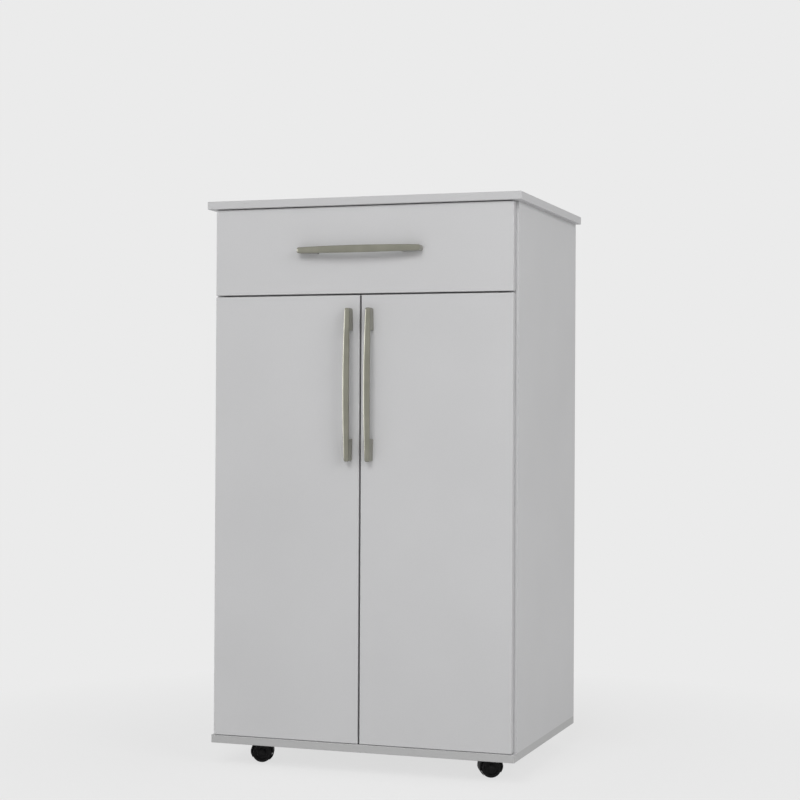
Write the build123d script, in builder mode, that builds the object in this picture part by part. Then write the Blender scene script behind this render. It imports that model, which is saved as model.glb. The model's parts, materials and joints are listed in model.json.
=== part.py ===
from build123d import *
import math
import os

# A tall kitchen storage cabinet on four twin-wheel casters: a flat-pack carcass of melamine-faced
# board, one drawer on roller runners above two overlay doors on concealed hinges, and three bow
# handles. Millimetres, +Z up, front towards -Y, origin on the floor at the centre of the whole
# object's box.

os.makedirs("parts", exist_ok=True)

# Overall sizes
cabinet_width = 598.0  # over the outer faces of the side panels
carcass_height = 1032.0  # underside of the base board to the top face
side_depth = 440.0  # side panel, front edge to back edge

# Boards
side_thickness = 15.0
top_thickness = 15.0
base_thickness = 15.0
divider_thickness = 15.0
shelf_thickness = 15.0
front_thickness = 15.0  # doors and drawer front
edge_radius = 1.2  # eased edges of the boards that show

# How the boards meet
top_side_overhang = 11.0
top_front_overhang = 7.0  # past the faces of the doors
front_inset = 5.0  # door edge in from the side panel's outer face
front_gap = 3.0  # behind doors and drawer front, where the buffers sit
door_reveal = 3.5  # between the two doors
drawer_reveal = 3.0  # between the drawer front and the doors
top_reveal = 1.5  # over the drawer front
base_reveal = 1.0  # under the doors
drawer_front_height = 163.0
divider_setback = 0.5
shelf_setback = 22.0
shelf_clearance = 1.0  # each end
shelf_height = 415.0  # base board's top face to the shelf's underside

# Back panel in its groove
back_thickness = 3.0
back_inset = 10.0  # behind the panel
groove_depth = 6.0
groove_play = 0.1  # each side of the panel's thickness
groove_end_play = 0.5

# Shelf pins and their row of holes
pin_diameter = 5.0
pin_depth = 8.0
pin_reach = 7.5
pin_plate = 2.0
pin_pitch = 96.0  # between the three heights the shelf can take
pin_from_front = 60.0
pin_from_back = 60.0

# Cam fittings that hold the boards together
cam_diameter = 15.0
cam_skin = 2.5  # board left under the cam
cam_to_edge = 34.0
cam_from_front = 60.0
cam_from_back = 70.0
bolt_diameter = 6.0
bolt_bore = 7.0
bolt_thread_diameter = 5.0
bolt_thread_length = 10.5
fit = 0.05  # radial clearance of a pin, screw or drum in its hole

# Concealed hinges
cup_diameter = 35.0
cup_depth = 12.0
cup_wall = 0.8
cup_edge = 3.0  # door edge to the cup's rim
cup_flange_thickness = 1.2
cup_flange_length = 54.0
cup_flange_width = 17.0
cup_flange_offset = 4.0  # wings' middle line from the cup's, away from the door's edge
cup_rim = 1.0
pivot_inset = 7.0  # pivot in from the door's edge
pivot_depth = 8.8  # pivot in front of the door's back face
hinge_pin_radius = 1.2
hinge_eye_radius = 2.1
hinge_arm_width = 10.0
hinge_arm_thickness = 1.6
hinge_arm_radius = 12.6
hinge_arm_length = 56.0  # behind the carcass's front edge
hinge_plate_thickness = 2.0
hinge_plate_length = 44.0
hinge_plate_start = 8.0  # plate's front edge behind the carcass's front edge
hinge_screw_pitch = 32.0
hinge_screw_diameter = 4.0
hinge_screw_length = 12.0
hinge_screw_head = 7.0
hinge_screw_head_height = 1.6
hinge_end_distance = 95.0  # door end to hinge centre
hinge_channel_wall = 1.2
hinge_channel_height = 7.0
hinge_ear_gap = 0.4  # arm to each ear that holds the pin
hinge_ear_width = 5.2

# Bow handles
handle_reach = 26.0  # door face to the front of the bow, at its middle
handle_end_reach = 20.0
handle_thickness = 5.5
handle_width = 14.0
handle_end_width = 10.5
handle_foot = 44.0  # length of each foot
handle_end_distance = 14.5  # screw to the handle's end
handle_edge_radius = 3.2  # crown of the bow
handle_under_radius = 0.8
door_handle_pitch = 256.0
drawer_handle_pitch = 224.0
door_handle_from_top = 24.5  # door's top edge to the handle's upper end
door_handle_offset = 20.5  # gap between the doors to the handle's middle
handle_screw_diameter = 4.0
handle_screw_grip = 9.0
handle_screw_head = 8.0
handle_screw_head_height = 2.4
arch_corner_radius = 13.0
handle_corner_radius = 3.4

# Drawer
runner_space = 12.5  # side panel to drawer side
drawer_side_thickness = 12.0
drawer_side_height = 112.0
drawer_length = 400.0
drawer_back_thickness = 12.0
drawer_bottom_thickness = 3.0
drawer_bottom_rise = 8.0
drawer_groove_depth = 5.0
drawer_screw_diameter = 5.0
drawer_screw_length = 40.0
drawer_screw_head = 7.0
drawer_cam_skin = 2.0
drawer_cam_heights = (40.0, 88.0)  # over the drawer side's lower edge
drawer_screw_heights = (46.0, 92.0)

# Roller runners
rail_sheet = 1.2
rail_flange = 10.0
rail_lift = 12.0  # rail's underside above the divider
rail_height = 21.5
rail_setback = 2.0
lip_margin = 0.4  # lip past the roller's outer face
rolling_clearance = 0.3
runner_drop = 3.0  # drawer side's lower edge under the rail
runner_foot = 11.0
roller_radius = 8.0
roller_width = 6.0
roller_offset = 3.8  # side panel to the roller
roller_pin_radius = 2.5
roller_from_end = 12.0
rail_screw_diameter = 4.0
rail_screw_length = 12.0
rail_screw_head = 7.0
rail_screw_head_height = 1.6

# Twin-wheel casters
wheel_diameter = 38.0
wheel_width = 10.0
wheel_edge_radius = 2.5
wheel_dish = 2.5
caster_trail = 13.0
caster_web = 14.0
caster_play = 0.3
hood_clearance = 1.2  # wheel to the inside of its hood
hood_thickness = 2.2
hood_to_race = 0.4
hood_trailing_angle = 10.0
hood_leading_angle = 188.0
axle_radius = 2.5
axle_boss_radius = 8.0
axle_cap = 1.7  # wheel's outer face to the axle's end
kingpin_radius = 4.0
kingpin_to_axle = 6.0  # kingpin's end above the axle's middle
kingpin_boss_radius = 7.0
caster_plate_side = 42.0
caster_plate_thickness = 2.0
caster_race_radius = 12.0
caster_race_height = 1.2
caster_screw_pitch = 32.0
caster_screw_diameter = 3.5
caster_screw_length = 12.0
caster_screw_head = 6.5
caster_screw_head_height = 1.3
caster_from_side = 83.0  # side panel's outer face to the swivel axis
caster_from_front = 88.0  # door face to the front swivel axes
caster_from_back = 75.0  # back edge to the rear swivel axes
caster_angles = {
    "front_left": 200.0,
    "front_right": 24.0,
    "rear_left": 38.0,
    "rear_right": 151.0,
}

# Planes that the pieces share
hood_radius = wheel_diameter / 2 + hood_clearance + hood_thickness
caster_height = (
    wheel_diameter / 2 + hood_radius + hood_to_race + caster_race_height + caster_plate_thickness
)
half_width = cabinet_width / 2
inner_half = half_width - side_thickness
total_depth = handle_reach + front_thickness + front_gap + side_depth
y_back = total_depth / 2
y_carcass = y_back - side_depth
y_front_back = y_carcass - front_gap
y_front = y_front_back - front_thickness
z_base = caster_height
z_inside = z_base + base_thickness
z_top = z_base + carcass_height
z_under_top = z_top - top_thickness
z_drawer_top = z_under_top - top_reveal
z_drawer_bottom = z_drawer_top - drawer_front_height
z_door_top = z_drawer_bottom - drawer_reveal
z_door_bottom = z_inside + base_reveal
z_divider = (z_drawer_bottom + z_door_top) / 2 - divider_thickness / 2
z_divider_top = z_divider + divider_thickness
z_shelf = z_inside + shelf_height
y_groove_back = y_back - back_inset
y_groove_front = y_groove_back - back_thickness - 2 * groove_play


def rectangle_between(low, high):
    """Draws a rectangle between two corners given in the sketch's own coordinates."""
    with Locations(((low[0] + high[0]) / 2, (low[1] + high[1]) / 2)):
        Rectangle(high[0] - low[0], high[1] - low[1])


def along(point, direction, distance):
    """Moves a point by a distance along a direction."""
    return tuple(p + d * distance for p, d in zip(point, direction))


def rod(start, direction, radius, length):
    """A round bar from a start point along a direction."""
    with BuildPart() as bar:
        with BuildSketch(Plane(origin=start, z_dir=direction)):
            Circle(radius)
        extrude(amount=length)
    return bar.part


def headed_screw(seat, direction, diameter, length, head, head_height):
    """A pan-head screw: its head stands back from the seat, its shank runs along the direction."""
    back = tuple(-d for d in direction)
    with BuildPart() as screw:
        with BuildSketch(Plane(origin=seat, z_dir=direction)):
            Circle(diameter / 2)
        extrude(amount=length)
        with BuildSketch(Plane(origin=seat, z_dir=back)):
            Circle(head / 2)
        extrude(amount=head_height, taper=20)
    return screw.part


# Cam fittings. Each one is (cam's middle on the drilled face, direction into that board,
# direction to the board it pulls on, thickness of the drilled board, board left under the cam).
y_cams = (y_carcass + cam_from_front, y_back - cam_from_back)
top_cams = [
    ((side * inner_half, y, z_under_top - cam_to_edge), (side, 0, 0), (0, 0, 1), side_thickness, cam_skin)
    for side in (-1, 1)
    for y in y_cams
]
base_cams = [
    ((side * inner_half, y, z_inside + cam_to_edge), (side, 0, 0), (0, 0, -1), side_thickness, cam_skin)
    for side in (-1, 1)
    for y in y_cams
]
divider_cams = [
    ((side * (inner_half - cam_to_edge), y, z_divider), (0, 0, 1), (side, 0, 0), divider_thickness, cam_skin)
    for side in (-1, 1)
    for y in y_cams
]


def cam_bolt_start(fitting):
    """The middle of the cam at the bolt's height, half way through its board."""
    centre, into, toward, thickness, skin = fitting
    return along(centre, into, thickness / 2)


def make_cam(fitting):
    """The cam drum, with the pocket that its bolt's head enters."""
    centre, into, toward, thickness, skin = fitting
    with BuildPart() as drum:
        with BuildSketch(Plane(origin=centre, z_dir=into)):
            Circle(cam_diameter / 2)
        extrude(amount=thickness - skin)
        with BuildSketch(Plane(origin=cam_bolt_start(fitting), z_dir=toward)):
            Circle(bolt_bore / 2)
        extrude(amount=cam_diameter, mode=Mode.SUBTRACT)
    return drum.part


def make_cam_bolt(fitting):
    """The bolt from inside the cam to its thread in the other board."""
    start = along(cam_bolt_start(fitting), fitting[2], 1.0)
    shoulder = along(cam_bolt_start(fitting), fitting[2], cam_to_edge)
    with BuildPart() as bolt:
        with BuildSketch(Plane(origin=start, z_dir=fitting[2])):
            Circle(bolt_diameter / 2)
        extrude(amount=cam_to_edge - 1.0)
        with BuildSketch(Plane(origin=shoulder, z_dir=fitting[2])):
            Circle(bolt_thread_diameter / 2)
        extrude(amount=bolt_thread_length)
    return bolt.part


def make_cam_holes(fitting):
    """What a cam fitting takes out of its two boards."""
    centre, into, toward, thickness, skin = fitting
    start = cam_bolt_start(fitting)
    with BuildPart() as holes:
        with BuildSketch(Plane(origin=centre, z_dir=into)):
            Circle(cam_diameter / 2 + fit)
        extrude(amount=thickness - skin)
        with BuildSketch(Plane(origin=start, z_dir=toward)):
            Circle(bolt_bore / 2)
        extrude(amount=cam_to_edge)
        with BuildSketch(Plane(origin=start, z_dir=toward)):
            Circle(bolt_thread_diameter / 2 + fit)
        extrude(amount=cam_to_edge + bolt_thread_length + 0.5)
    return holes.part


top_cam_holes = [make_cam_holes(fitting) for fitting in top_cams]
base_cam_holes = [make_cam_holes(fitting) for fitting in base_cams]
divider_cam_holes = [make_cam_holes(fitting) for fitting in divider_cams]

# Casters: where the swivel axes stand, and the screws through each plate
x_caster = half_width - caster_from_side
caster_places = {
    "front_left": (-x_caster, y_front + caster_from_front),
    "front_right": (x_caster, y_front + caster_from_front),
    "rear_left": (-x_caster, y_back - caster_from_back),
    "rear_right": (x_caster, y_back - caster_from_back),
}
caster_screw_offset = caster_screw_pitch / 2
caster_screw_places = [
    (x + dx * caster_screw_offset, y + dy * caster_screw_offset)
    for x, y in caster_places.values()
    for dx in (-1, 1)
    for dy in (-1, 1)
]

# Hinges: one pair on each door, stated for the left side and mirrored to the right
x_door_edge = -half_width + front_inset
x_pivot = x_door_edge + pivot_inset
y_pivot = y_front_back - pivot_depth
x_cup = x_door_edge + cup_edge + cup_diameter / 2
hinge_heights = {
    "lower": z_door_bottom + hinge_end_distance,
    "upper": z_door_top - hinge_end_distance,
}
y_hinge_screws = y_carcass + hinge_plate_start + hinge_plate_length / 2

# Runner heights and lengths
z_rail = z_divider_top + rail_lift
z_roller = z_rail + rail_sheet + rolling_clearance + roller_radius
z_lip = z_roller + roller_radius + rolling_clearance
y_rail = y_carcass + rail_setback
x_drawer_side = inner_half - runner_space
z_drawer_side = z_rail - runner_drop
y_front_roller = y_rail + roller_from_end
y_rear_roller = y_front_back + drawer_length - roller_from_end
y_rail_screws = (y_rail + 60.0, y_rail + drawer_length / 2, y_rail + drawer_length - 60.0)

# Side panels
with BuildPart() as side_panel_left:
    with BuildSketch(Plane.YZ.offset(-half_width)):
        rectangle_between((y_carcass, z_inside), (y_back, z_under_top))
    extrude(amount=side_thickness)
    with BuildSketch(Plane.YZ.offset(-inner_half)):
        rectangle_between((y_groove_front, z_inside), (y_groove_back, z_under_top))
    extrude(amount=-groove_depth, mode=Mode.SUBTRACT)
    with BuildSketch(Plane.YZ.offset(-inner_half)):
        for y in (y_carcass + pin_from_front, y_groove_front - pin_from_back):
            for step in (-1, 0, 1):
                with Locations((y, z_shelf - pin_diameter / 2 + step * pin_pitch)):
                    Circle(pin_diameter / 2 + fit)
    extrude(amount=-(pin_depth + 0.5), mode=Mode.SUBTRACT)
    with BuildSketch(Plane.YZ.offset(-inner_half)):
        for z in hinge_heights.values():
            with Locations((y_hinge_screws, z)):
                with GridLocations(0, hinge_screw_pitch, 1, 2):
                    Circle(hinge_screw_diameter / 2 + fit)
    extrude(amount=-(hinge_screw_length - hinge_plate_thickness + 0.5), mode=Mode.SUBTRACT)
    with BuildSketch(Plane.YZ.offset(-inner_half)):
        for y in y_rail_screws:
            with Locations((y, z_roller)):
                Circle(rail_screw_diameter / 2 + fit)
    extrude(amount=-(rail_screw_length - rail_sheet + 0.5), mode=Mode.SUBTRACT)
    add(top_cam_holes[:2] + base_cam_holes[:2] + divider_cam_holes[:2], mode=Mode.SUBTRACT)
side_panel_left.part.label = "side_panel_left"
export_step(side_panel_left.part, "parts/side_panel_left.step")

with BuildPart() as side_panel_right:
    mirror(side_panel_left.part, about=Plane.YZ)
side_panel_right.part.label = "side_panel_right"
export_step(side_panel_right.part, "parts/side_panel_right.step")

# Top board, proud of the carcass at the sides and past the doors in front
with BuildPart() as top_board:
    with BuildSketch(Plane.XY.offset(z_under_top)):
        rectangle_between(
            (-half_width - top_side_overhang, y_front - top_front_overhang),
            (half_width + top_side_overhang, y_back),
        )
    extrude(amount=top_thickness)
    fillet(top_board.edges(), edge_radius)
    with BuildSketch(Plane.XY.offset(z_under_top)):
        rectangle_between(
            (-inner_half - groove_depth, y_groove_front), (inner_half + groove_depth, y_groove_back)
        )
    extrude(amount=groove_depth, mode=Mode.SUBTRACT)
    add(top_cam_holes, mode=Mode.SUBTRACT)
top_board.part.label = "top_board"
export_step(top_board.part, "parts/top_board.step")

# Base board: full width and out to the faces of the doors, drilled underneath for the casters
with BuildPart() as base_board:
    with BuildSketch(Plane.XY.offset(z_base)):
        rectangle_between((-half_width, y_front), (half_width, y_back))
    extrude(amount=base_thickness)
    fillet(base_board.faces().sort_by(Axis.Y)[0].edges(), edge_radius)
    with BuildSketch(Plane.XY.offset(z_inside)):
        rectangle_between(
            (-inner_half - groove_depth, y_groove_front), (inner_half + groove_depth, y_groove_back)
        )
    extrude(amount=-groove_depth, mode=Mode.SUBTRACT)
    with BuildSketch(Plane.XY.offset(z_base)):
        with Locations(*caster_screw_places):
            Circle(caster_screw_diameter / 2 + fit)
    extrude(amount=caster_screw_length - caster_plate_thickness + 0.5, mode=Mode.SUBTRACT)
    add(base_cam_holes, mode=Mode.SUBTRACT)
base_board.part.label = "base_board"
export_step(base_board.part, "parts/base_board.step")

# Divider between the drawer and the cupboard
with BuildPart() as divider_board:
    with BuildSketch(Plane.XY.offset(z_divider)):
        rectangle_between(
            (-inner_half, y_carcass + divider_setback), (inner_half, y_groove_front + groove_play)
        )
    extrude(amount=divider_thickness)
    add(divider_cam_holes, mode=Mode.SUBTRACT)
divider_board.part.label = "divider_board"
export_step(divider_board.part, "parts/divider_board.step")

# Loose shelf on its four pins
with BuildPart() as shelf:
    with BuildSketch(Plane.XY.offset(z_shelf)):
        rectangle_between(
            (-inner_half + shelf_clearance, y_carcass + shelf_setback),
            (inner_half - shelf_clearance, y_groove_front - shelf_clearance),
        )
    extrude(amount=shelf_thickness)
    fillet(shelf.edges().filter_by(Axis.X).group_by(Axis.Y)[0], edge_radius)
shelf.part.label = "shelf"
export_step(shelf.part, "parts/shelf.step")

with BuildPart() as shelf_pins:
    for side in (-1, 1):
        for y in (y_carcass + pin_from_front, y_groove_front - pin_from_back):
            face = (side * inner_half, y, z_shelf - pin_diameter / 2)
            with BuildSketch(Plane(origin=face, z_dir=(side, 0, 0))):
                Circle(pin_diameter / 2)
            extrude(amount=pin_depth)
            with BuildSketch(Plane.XY.offset(z_shelf - pin_plate)):
                with Locations((side * (inner_half - pin_reach / 2), y)):
                    Rectangle(pin_reach, 11.0)
            extrude(amount=pin_plate)
            with BuildSketch(Plane(origin=face, z_dir=(-side, 0, 0))):
                Circle(pin_diameter / 2)
            extrude(amount=2.0)
shelf_pins.part.label = "shelf_pins"
export_step(shelf_pins.part, "parts/shelf_pins.step")

# Thin back panel, slid into grooves all round
with BuildPart() as back_panel:
    with BuildSketch(Plane.XZ.offset(-(y_groove_back - groove_play))):
        rectangle_between(
            (-inner_half - groove_depth + groove_end_play, z_inside - groove_depth + groove_end_play),
            (inner_half + groove_depth - groove_end_play, z_under_top + groove_depth - groove_end_play),
        )
    extrude(amount=back_thickness)
back_panel.part.label = "back_panel"
export_step(back_panel.part, "parts/back_panel.step")

# All the carcass's cams and bolts
with BuildPart() as cam_fittings:
    for fitting in top_cams + base_cams + divider_cams:
        add([make_cam(fitting), make_cam_bolt(fitting)])
cam_fittings.part.label = "cam_fittings"
export_step(cam_fittings.part, "parts/cam_fittings.step")


def make_handle(pitch):
    """A cast bow handle lying along X, its feet on the plane Z = 0, its bow towards +Z."""
    half = pitch / 2 + handle_end_distance
    inner = half - handle_foot
    bow = handle_reach - handle_end_reach
    inner_end = handle_reach - handle_thickness - bow * (inner / half) ** 2
    with BuildPart() as handle:
        with BuildSketch(Plane.XZ):
            with BuildLine():
                ThreePointArc((-half, handle_end_reach), (0, handle_reach), (half, handle_end_reach))
                Polyline((half, handle_end_reach), (half, 0), (inner, 0), (inner, inner_end))
                ThreePointArc(
                    (inner, inner_end), (0, handle_reach - handle_thickness), (-inner, inner_end)
                )
                Polyline((-inner, inner_end), (-inner, 0), (-half, 0), (-half, handle_end_reach))
            make_face()
        extrude(amount=handle_width, both=True)
        arch_corners = (
            handle.edges().filter_by(Axis.Y).filter_by_position(Axis.Z, 1.0, handle_end_reach - 1.0)
        )
        fillet(arch_corners, arch_corner_radius)
        with BuildSketch(Plane.XY.offset(-1)):
            with BuildLine():
                for sign in (-1, 1):
                    ThreePointArc(
                        (-half, sign * handle_end_width / 2),
                        (0, sign * handle_width / 2),
                        (half, sign * handle_end_width / 2),
                    )
                    Line(
                        (sign * half, -handle_end_width / 2), (sign * half, handle_end_width / 2)
                    )
            outline = make_face()
            fillet(outline.vertices(), handle_corner_radius)
        extrude(amount=handle_reach + 2, mode=Mode.INTERSECT)
        fillet(handle.faces().sort_by(Axis.Z)[-1].edges(), handle_edge_radius)
        under_edges = handle.edges().filter_by(
            lambda edge: abs(edge.center().X) < 1
            and edge.center().Z < handle_reach - handle_thickness + 0.1
        )
        fillet(under_edges, handle_under_radius)
        with BuildSketch(Plane.XY):
            with GridLocations(pitch, 0, 2, 1):
                Circle(handle_screw_diameter / 2 + fit)
        extrude(amount=handle_screw_grip + 1.0, mode=Mode.SUBTRACT)
    return handle.part


def make_handle_screws(pitch):
    """The two screws of a handle, in the handle's own frame, heads behind the board."""
    with BuildPart() as screws:
        with BuildSketch(Plane.XY.offset(-front_thickness)):
            with GridLocations(pitch, 0, 2, 1):
                Circle(handle_screw_diameter / 2)
        extrude(amount=front_thickness + handle_screw_grip)
        with BuildSketch(Plane.XY.offset(-front_thickness)):
            with GridLocations(pitch, 0, 2, 1):
                Circle(handle_screw_head / 2)
        extrude(amount=-handle_screw_head_height, taper=20)
    return screws.part


door_handle_shape = make_handle(door_handle_pitch)
door_handle_screw_shape = make_handle_screws(door_handle_pitch)
z_drawer_handle = (z_drawer_top + z_drawer_bottom) / 2
z_door_handle = z_door_top - door_handle_from_top - handle_end_distance - door_handle_pitch / 2
drawer_handle_plane = Plane(origin=(0, y_front, z_drawer_handle), x_dir=(1, 0, 0), z_dir=(0, -1, 0))
left_handle_plane = Plane(
    origin=(-door_handle_offset, y_front, z_door_handle), x_dir=(0, 0, 1), z_dir=(0, -1, 0)
)

# Doors, with the bores for the hinge cups and the handle's screw holes
with BuildPart() as door_left:
    with BuildSketch(Plane.XZ.offset(-y_front_back)):
        rectangle_between((x_door_edge, z_door_bottom), (-door_reveal / 2, z_door_top))
    extrude(amount=front_thickness)
    fillet(door_left.edges(), edge_radius)
    with BuildSketch(Plane.XZ.offset(-y_front_back)):
        with Locations(*[(x_cup, z) for z in hinge_heights.values()]):
            Circle(cup_diameter / 2 + fit)
    extrude(amount=cup_depth + fit, mode=Mode.SUBTRACT)
    with BuildSketch(Plane.XZ.offset(-y_front_back)):
        with Locations((-door_handle_offset, z_door_handle)):
            with GridLocations(0, door_handle_pitch, 1, 2):
                Circle(handle_screw_diameter / 2 + fit)
    extrude(amount=front_thickness, mode=Mode.SUBTRACT)
door_left.part.label = "door_left"
export_step(door_left.part, "parts/door_left.step")

with BuildPart() as door_right:
    mirror(door_left.part, about=Plane.YZ)
door_right.part.label = "door_right"
export_step(door_right.part, "parts/door_right.step")

with BuildPart() as door_handle_left:
    with Locations(left_handle_plane.location):
        add(door_handle_shape)
door_handle_left.part.label = "door_handle_left"
export_step(door_handle_left.part, "parts/door_handle_left.step")

with BuildPart() as door_handle_right:
    mirror(door_handle_left.part, about=Plane.YZ)
door_handle_right.part.label = "door_handle_right"
export_step(door_handle_right.part, "parts/door_handle_right.step")

with BuildPart() as door_handle_screws_left:
    with Locations(left_handle_plane.location):
        add(door_handle_screw_shape)
door_handle_screws_left.part.label = "door_handle_screws_left"
export_step(door_handle_screws_left.part, "parts/door_handle_screws_left.step")

with BuildPart() as door_handle_screws_right:
    mirror(door_handle_screws_left.part, about=Plane.YZ)
door_handle_screws_right.part.label = "door_handle_screws_right"
export_step(door_handle_screws_right.part, "parts/door_handle_screws_right.step")


def make_hinge_cup(z):
    """Pressed cup of a left hinge: a well with two ears, its screwed flange and the pin across."""
    cup_plane = Plane(origin=(x_cup, y_front_back, z), x_dir=(1, 0, 0), z_dir=(0, -1, 0))
    well_radius = cup_diameter / 2 - cup_wall
    ear_start = hinge_arm_width / 2 + hinge_ear_gap
    ear_middle = ear_start + well_radius / 2
    with BuildPart() as cup:
        with BuildSketch(cup_plane):
            Circle(cup_diameter / 2)
        extrude(amount=cup_depth)
        with BuildSketch(cup_plane):
            Circle(cup_diameter / 2 + cup_rim)
            with Locations((cup_flange_offset, 0)):
                RectangleRounded(cup_flange_width, cup_flange_length, 4.0)
        extrude(amount=-cup_flange_thickness)
        with BuildSketch(cup_plane.offset(-cup_flange_thickness)):
            Circle(well_radius)
            with Locations((x_pivot - x_cup, ear_middle), (x_pivot - x_cup, -ear_middle)):
                Rectangle(hinge_ear_width, well_radius, mode=Mode.SUBTRACT)
        extrude(amount=cup_flange_thickness + cup_depth - cup_wall, mode=Mode.SUBTRACT)
        with BuildSketch(Plane(origin=(x_pivot, y_pivot, z - ear_start - 1.5))):
            Circle(hinge_pin_radius)
        extrude(amount=2 * ear_start + 3.0)
    return cup.part


def make_hinge_arm(z):
    """Cranked arm of a left hinge: a channel on its plate, then a strip round the door's edge."""
    x_strip = -inner_half + hinge_plate_thickness + hinge_arm_thickness / 2
    bend = math.degrees(math.acos((x_strip - x_pivot) / hinge_arm_radius))
    y_arc = y_pivot + hinge_arm_radius * math.sin(math.radians(bend))
    x_corner = x_pivot + hinge_arm_radius
    x_channel = x_strip - hinge_arm_thickness / 2
    with BuildPart() as arm:
        with BuildSketch(Plane.XY.offset(z - hinge_arm_width / 2)):
            with BuildLine():
                Line((x_strip, y_carcass + hinge_arm_length), (x_strip, y_arc))
                CenterArc((x_pivot, y_pivot), hinge_arm_radius, bend, -bend)
                Line((x_corner, y_pivot), (x_pivot, y_pivot))
            trace(line_width=hinge_arm_thickness)
            with Locations((x_corner, y_pivot)):
                Circle(hinge_arm_thickness / 2)
            with Locations((x_pivot, y_pivot)):
                Circle(hinge_eye_radius)
                Circle(hinge_pin_radius + fit, mode=Mode.SUBTRACT)
        extrude(amount=hinge_arm_width)
        for z_wall in (z - hinge_arm_width / 2 - hinge_channel_wall, z + hinge_arm_width / 2):
            with BuildSketch(Plane.XY.offset(z_wall)):
                rectangle_between(
                    (x_channel, y_carcass + hinge_plate_start),
                    (x_channel + hinge_channel_height, y_carcass + hinge_arm_length),
                )
            extrude(amount=hinge_channel_wall)
    return arm.part


def make_hinge_plate(z):
    """Cross-shaped mounting plate of a left hinge, flat on the side panel."""
    with BuildPart() as plate:
        with BuildSketch(Plane(origin=(-inner_half, y_hinge_screws, z), x_dir=(0, 1, 0), z_dir=(1, 0, 0))):
            RectangleRounded(hinge_plate_length, hinge_arm_width + 6.0, 2.0)
            RectangleRounded(14.0, hinge_screw_pitch + 12.0, 6.0)
            with GridLocations(0, hinge_screw_pitch, 1, 2):
                Circle(hinge_screw_diameter / 2 + fit, mode=Mode.SUBTRACT)
        extrude(amount=hinge_plate_thickness)
    return plate.part


for height_name, z in hinge_heights.items():
    for piece_name, shape in (
        ("hinge_cup", make_hinge_cup(z)),
        ("hinge_arm", make_hinge_arm(z)),
        ("hinge_plate", make_hinge_plate(z)),
    ):
        with BuildPart() as left_piece:
            add(shape)
        left_piece.part.label = f"{piece_name}_{height_name}_left"
        export_step(left_piece.part, f"parts/{left_piece.part.label}.step")
        with BuildPart() as right_piece:
            mirror(shape, about=Plane.YZ)
        right_piece.part.label = f"{piece_name}_{height_name}_right"
        export_step(right_piece.part, f"parts/{right_piece.part.label}.step")

# Screws of the four hinge plates
with BuildPart() as hinge_plate_screws:
    for side in (-1, 1):
        for z in hinge_heights.values():
            for dz in (-hinge_screw_pitch / 2, hinge_screw_pitch / 2):
                seat = (side * (inner_half - hinge_plate_thickness), y_hinge_screws, z + dz)
                add(
                    headed_screw(
                        seat,
                        (side, 0, 0),
                        hinge_screw_diameter,
                        hinge_screw_length,
                        hinge_screw_head,
                        hinge_screw_head_height,
                    )
                )
hinge_plate_screws.part.label = "hinge_plate_screws"
export_step(hinge_plate_screws.part, "parts/hinge_plate_screws.step")

# Drawer: an overlay front, two grooved sides, a back that stands on the bottom, and the bottom
x_drawer_inside = x_drawer_side - drawer_side_thickness
z_drawer_bottom_panel = z_drawer_side + drawer_bottom_rise
z_drawer_side_top = z_drawer_side + drawer_side_height
y_drawer_end = y_front_back + drawer_length
z_drawer_groove_top = z_drawer_bottom_panel + drawer_bottom_thickness + 2 * groove_play
drawer_cams = [
    (
        (side * x_drawer_inside, y_front_back + cam_to_edge, z_drawer_side + height),
        (side, 0, 0),
        (0, -1, 0),
        drawer_side_thickness,
        drawer_cam_skin,
    )
    for side in (-1, 1)
    for height in drawer_cam_heights
]
drawer_cam_holes = [make_cam_holes(fitting) for fitting in drawer_cams]
drawer_screw_seats = [
    (side * x_drawer_side, y_drawer_end - drawer_back_thickness / 2, z_drawer_side + height)
    for side in (-1, 1)
    for height in drawer_screw_heights
]

with BuildPart() as drawer_front:
    with BuildSketch(Plane.XZ.offset(-y_front_back)):
        rectangle_between((x_door_edge, z_drawer_bottom), (-x_door_edge, z_drawer_top))
    extrude(amount=front_thickness)
    fillet(drawer_front.edges(), edge_radius)
    with BuildSketch(Plane.XZ.offset(-y_front_back)):
        rectangle_between(
            (-x_drawer_inside - drawer_groove_depth, z_drawer_bottom_panel),
            (x_drawer_inside + drawer_groove_depth, z_drawer_groove_top),
        )
    extrude(amount=drawer_groove_depth, mode=Mode.SUBTRACT)
    with BuildSketch(Plane.XZ.offset(-y_front_back)):
        with Locations((0, z_drawer_handle)):
            with GridLocations(drawer_handle_pitch, 0, 2, 1):
                Circle(handle_screw_diameter / 2 + fit)
    extrude(amount=front_thickness, mode=Mode.SUBTRACT)
    add(drawer_cam_holes, mode=Mode.SUBTRACT)
drawer_front.part.label = "drawer_front"
export_step(drawer_front.part, "parts/drawer_front.step")

with BuildPart() as drawer_side_left:
    with BuildSketch(Plane.YZ.offset(-x_drawer_side)):
        rectangle_between((y_front_back, z_drawer_side), (y_drawer_end, z_drawer_side_top))
    extrude(amount=drawer_side_thickness)
    with BuildSketch(Plane.YZ.offset(-x_drawer_inside)):
        rectangle_between((y_front_back, z_drawer_bottom_panel), (y_drawer_end, z_drawer_groove_top))
    extrude(amount=-drawer_groove_depth, mode=Mode.SUBTRACT)
    with BuildSketch(Plane.YZ.offset(-x_drawer_side)):
        with Locations(*[(seat[1], seat[2]) for seat in drawer_screw_seats[:2]]):
            Circle(drawer_screw_diameter / 2 + fit)
    extrude(amount=drawer_side_thickness, mode=Mode.SUBTRACT)
    add(drawer_cam_holes[:2], mode=Mode.SUBTRACT)
drawer_side_left.part.label = "drawer_side_left"
export_step(drawer_side_left.part, "parts/drawer_side_left.step")

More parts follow.
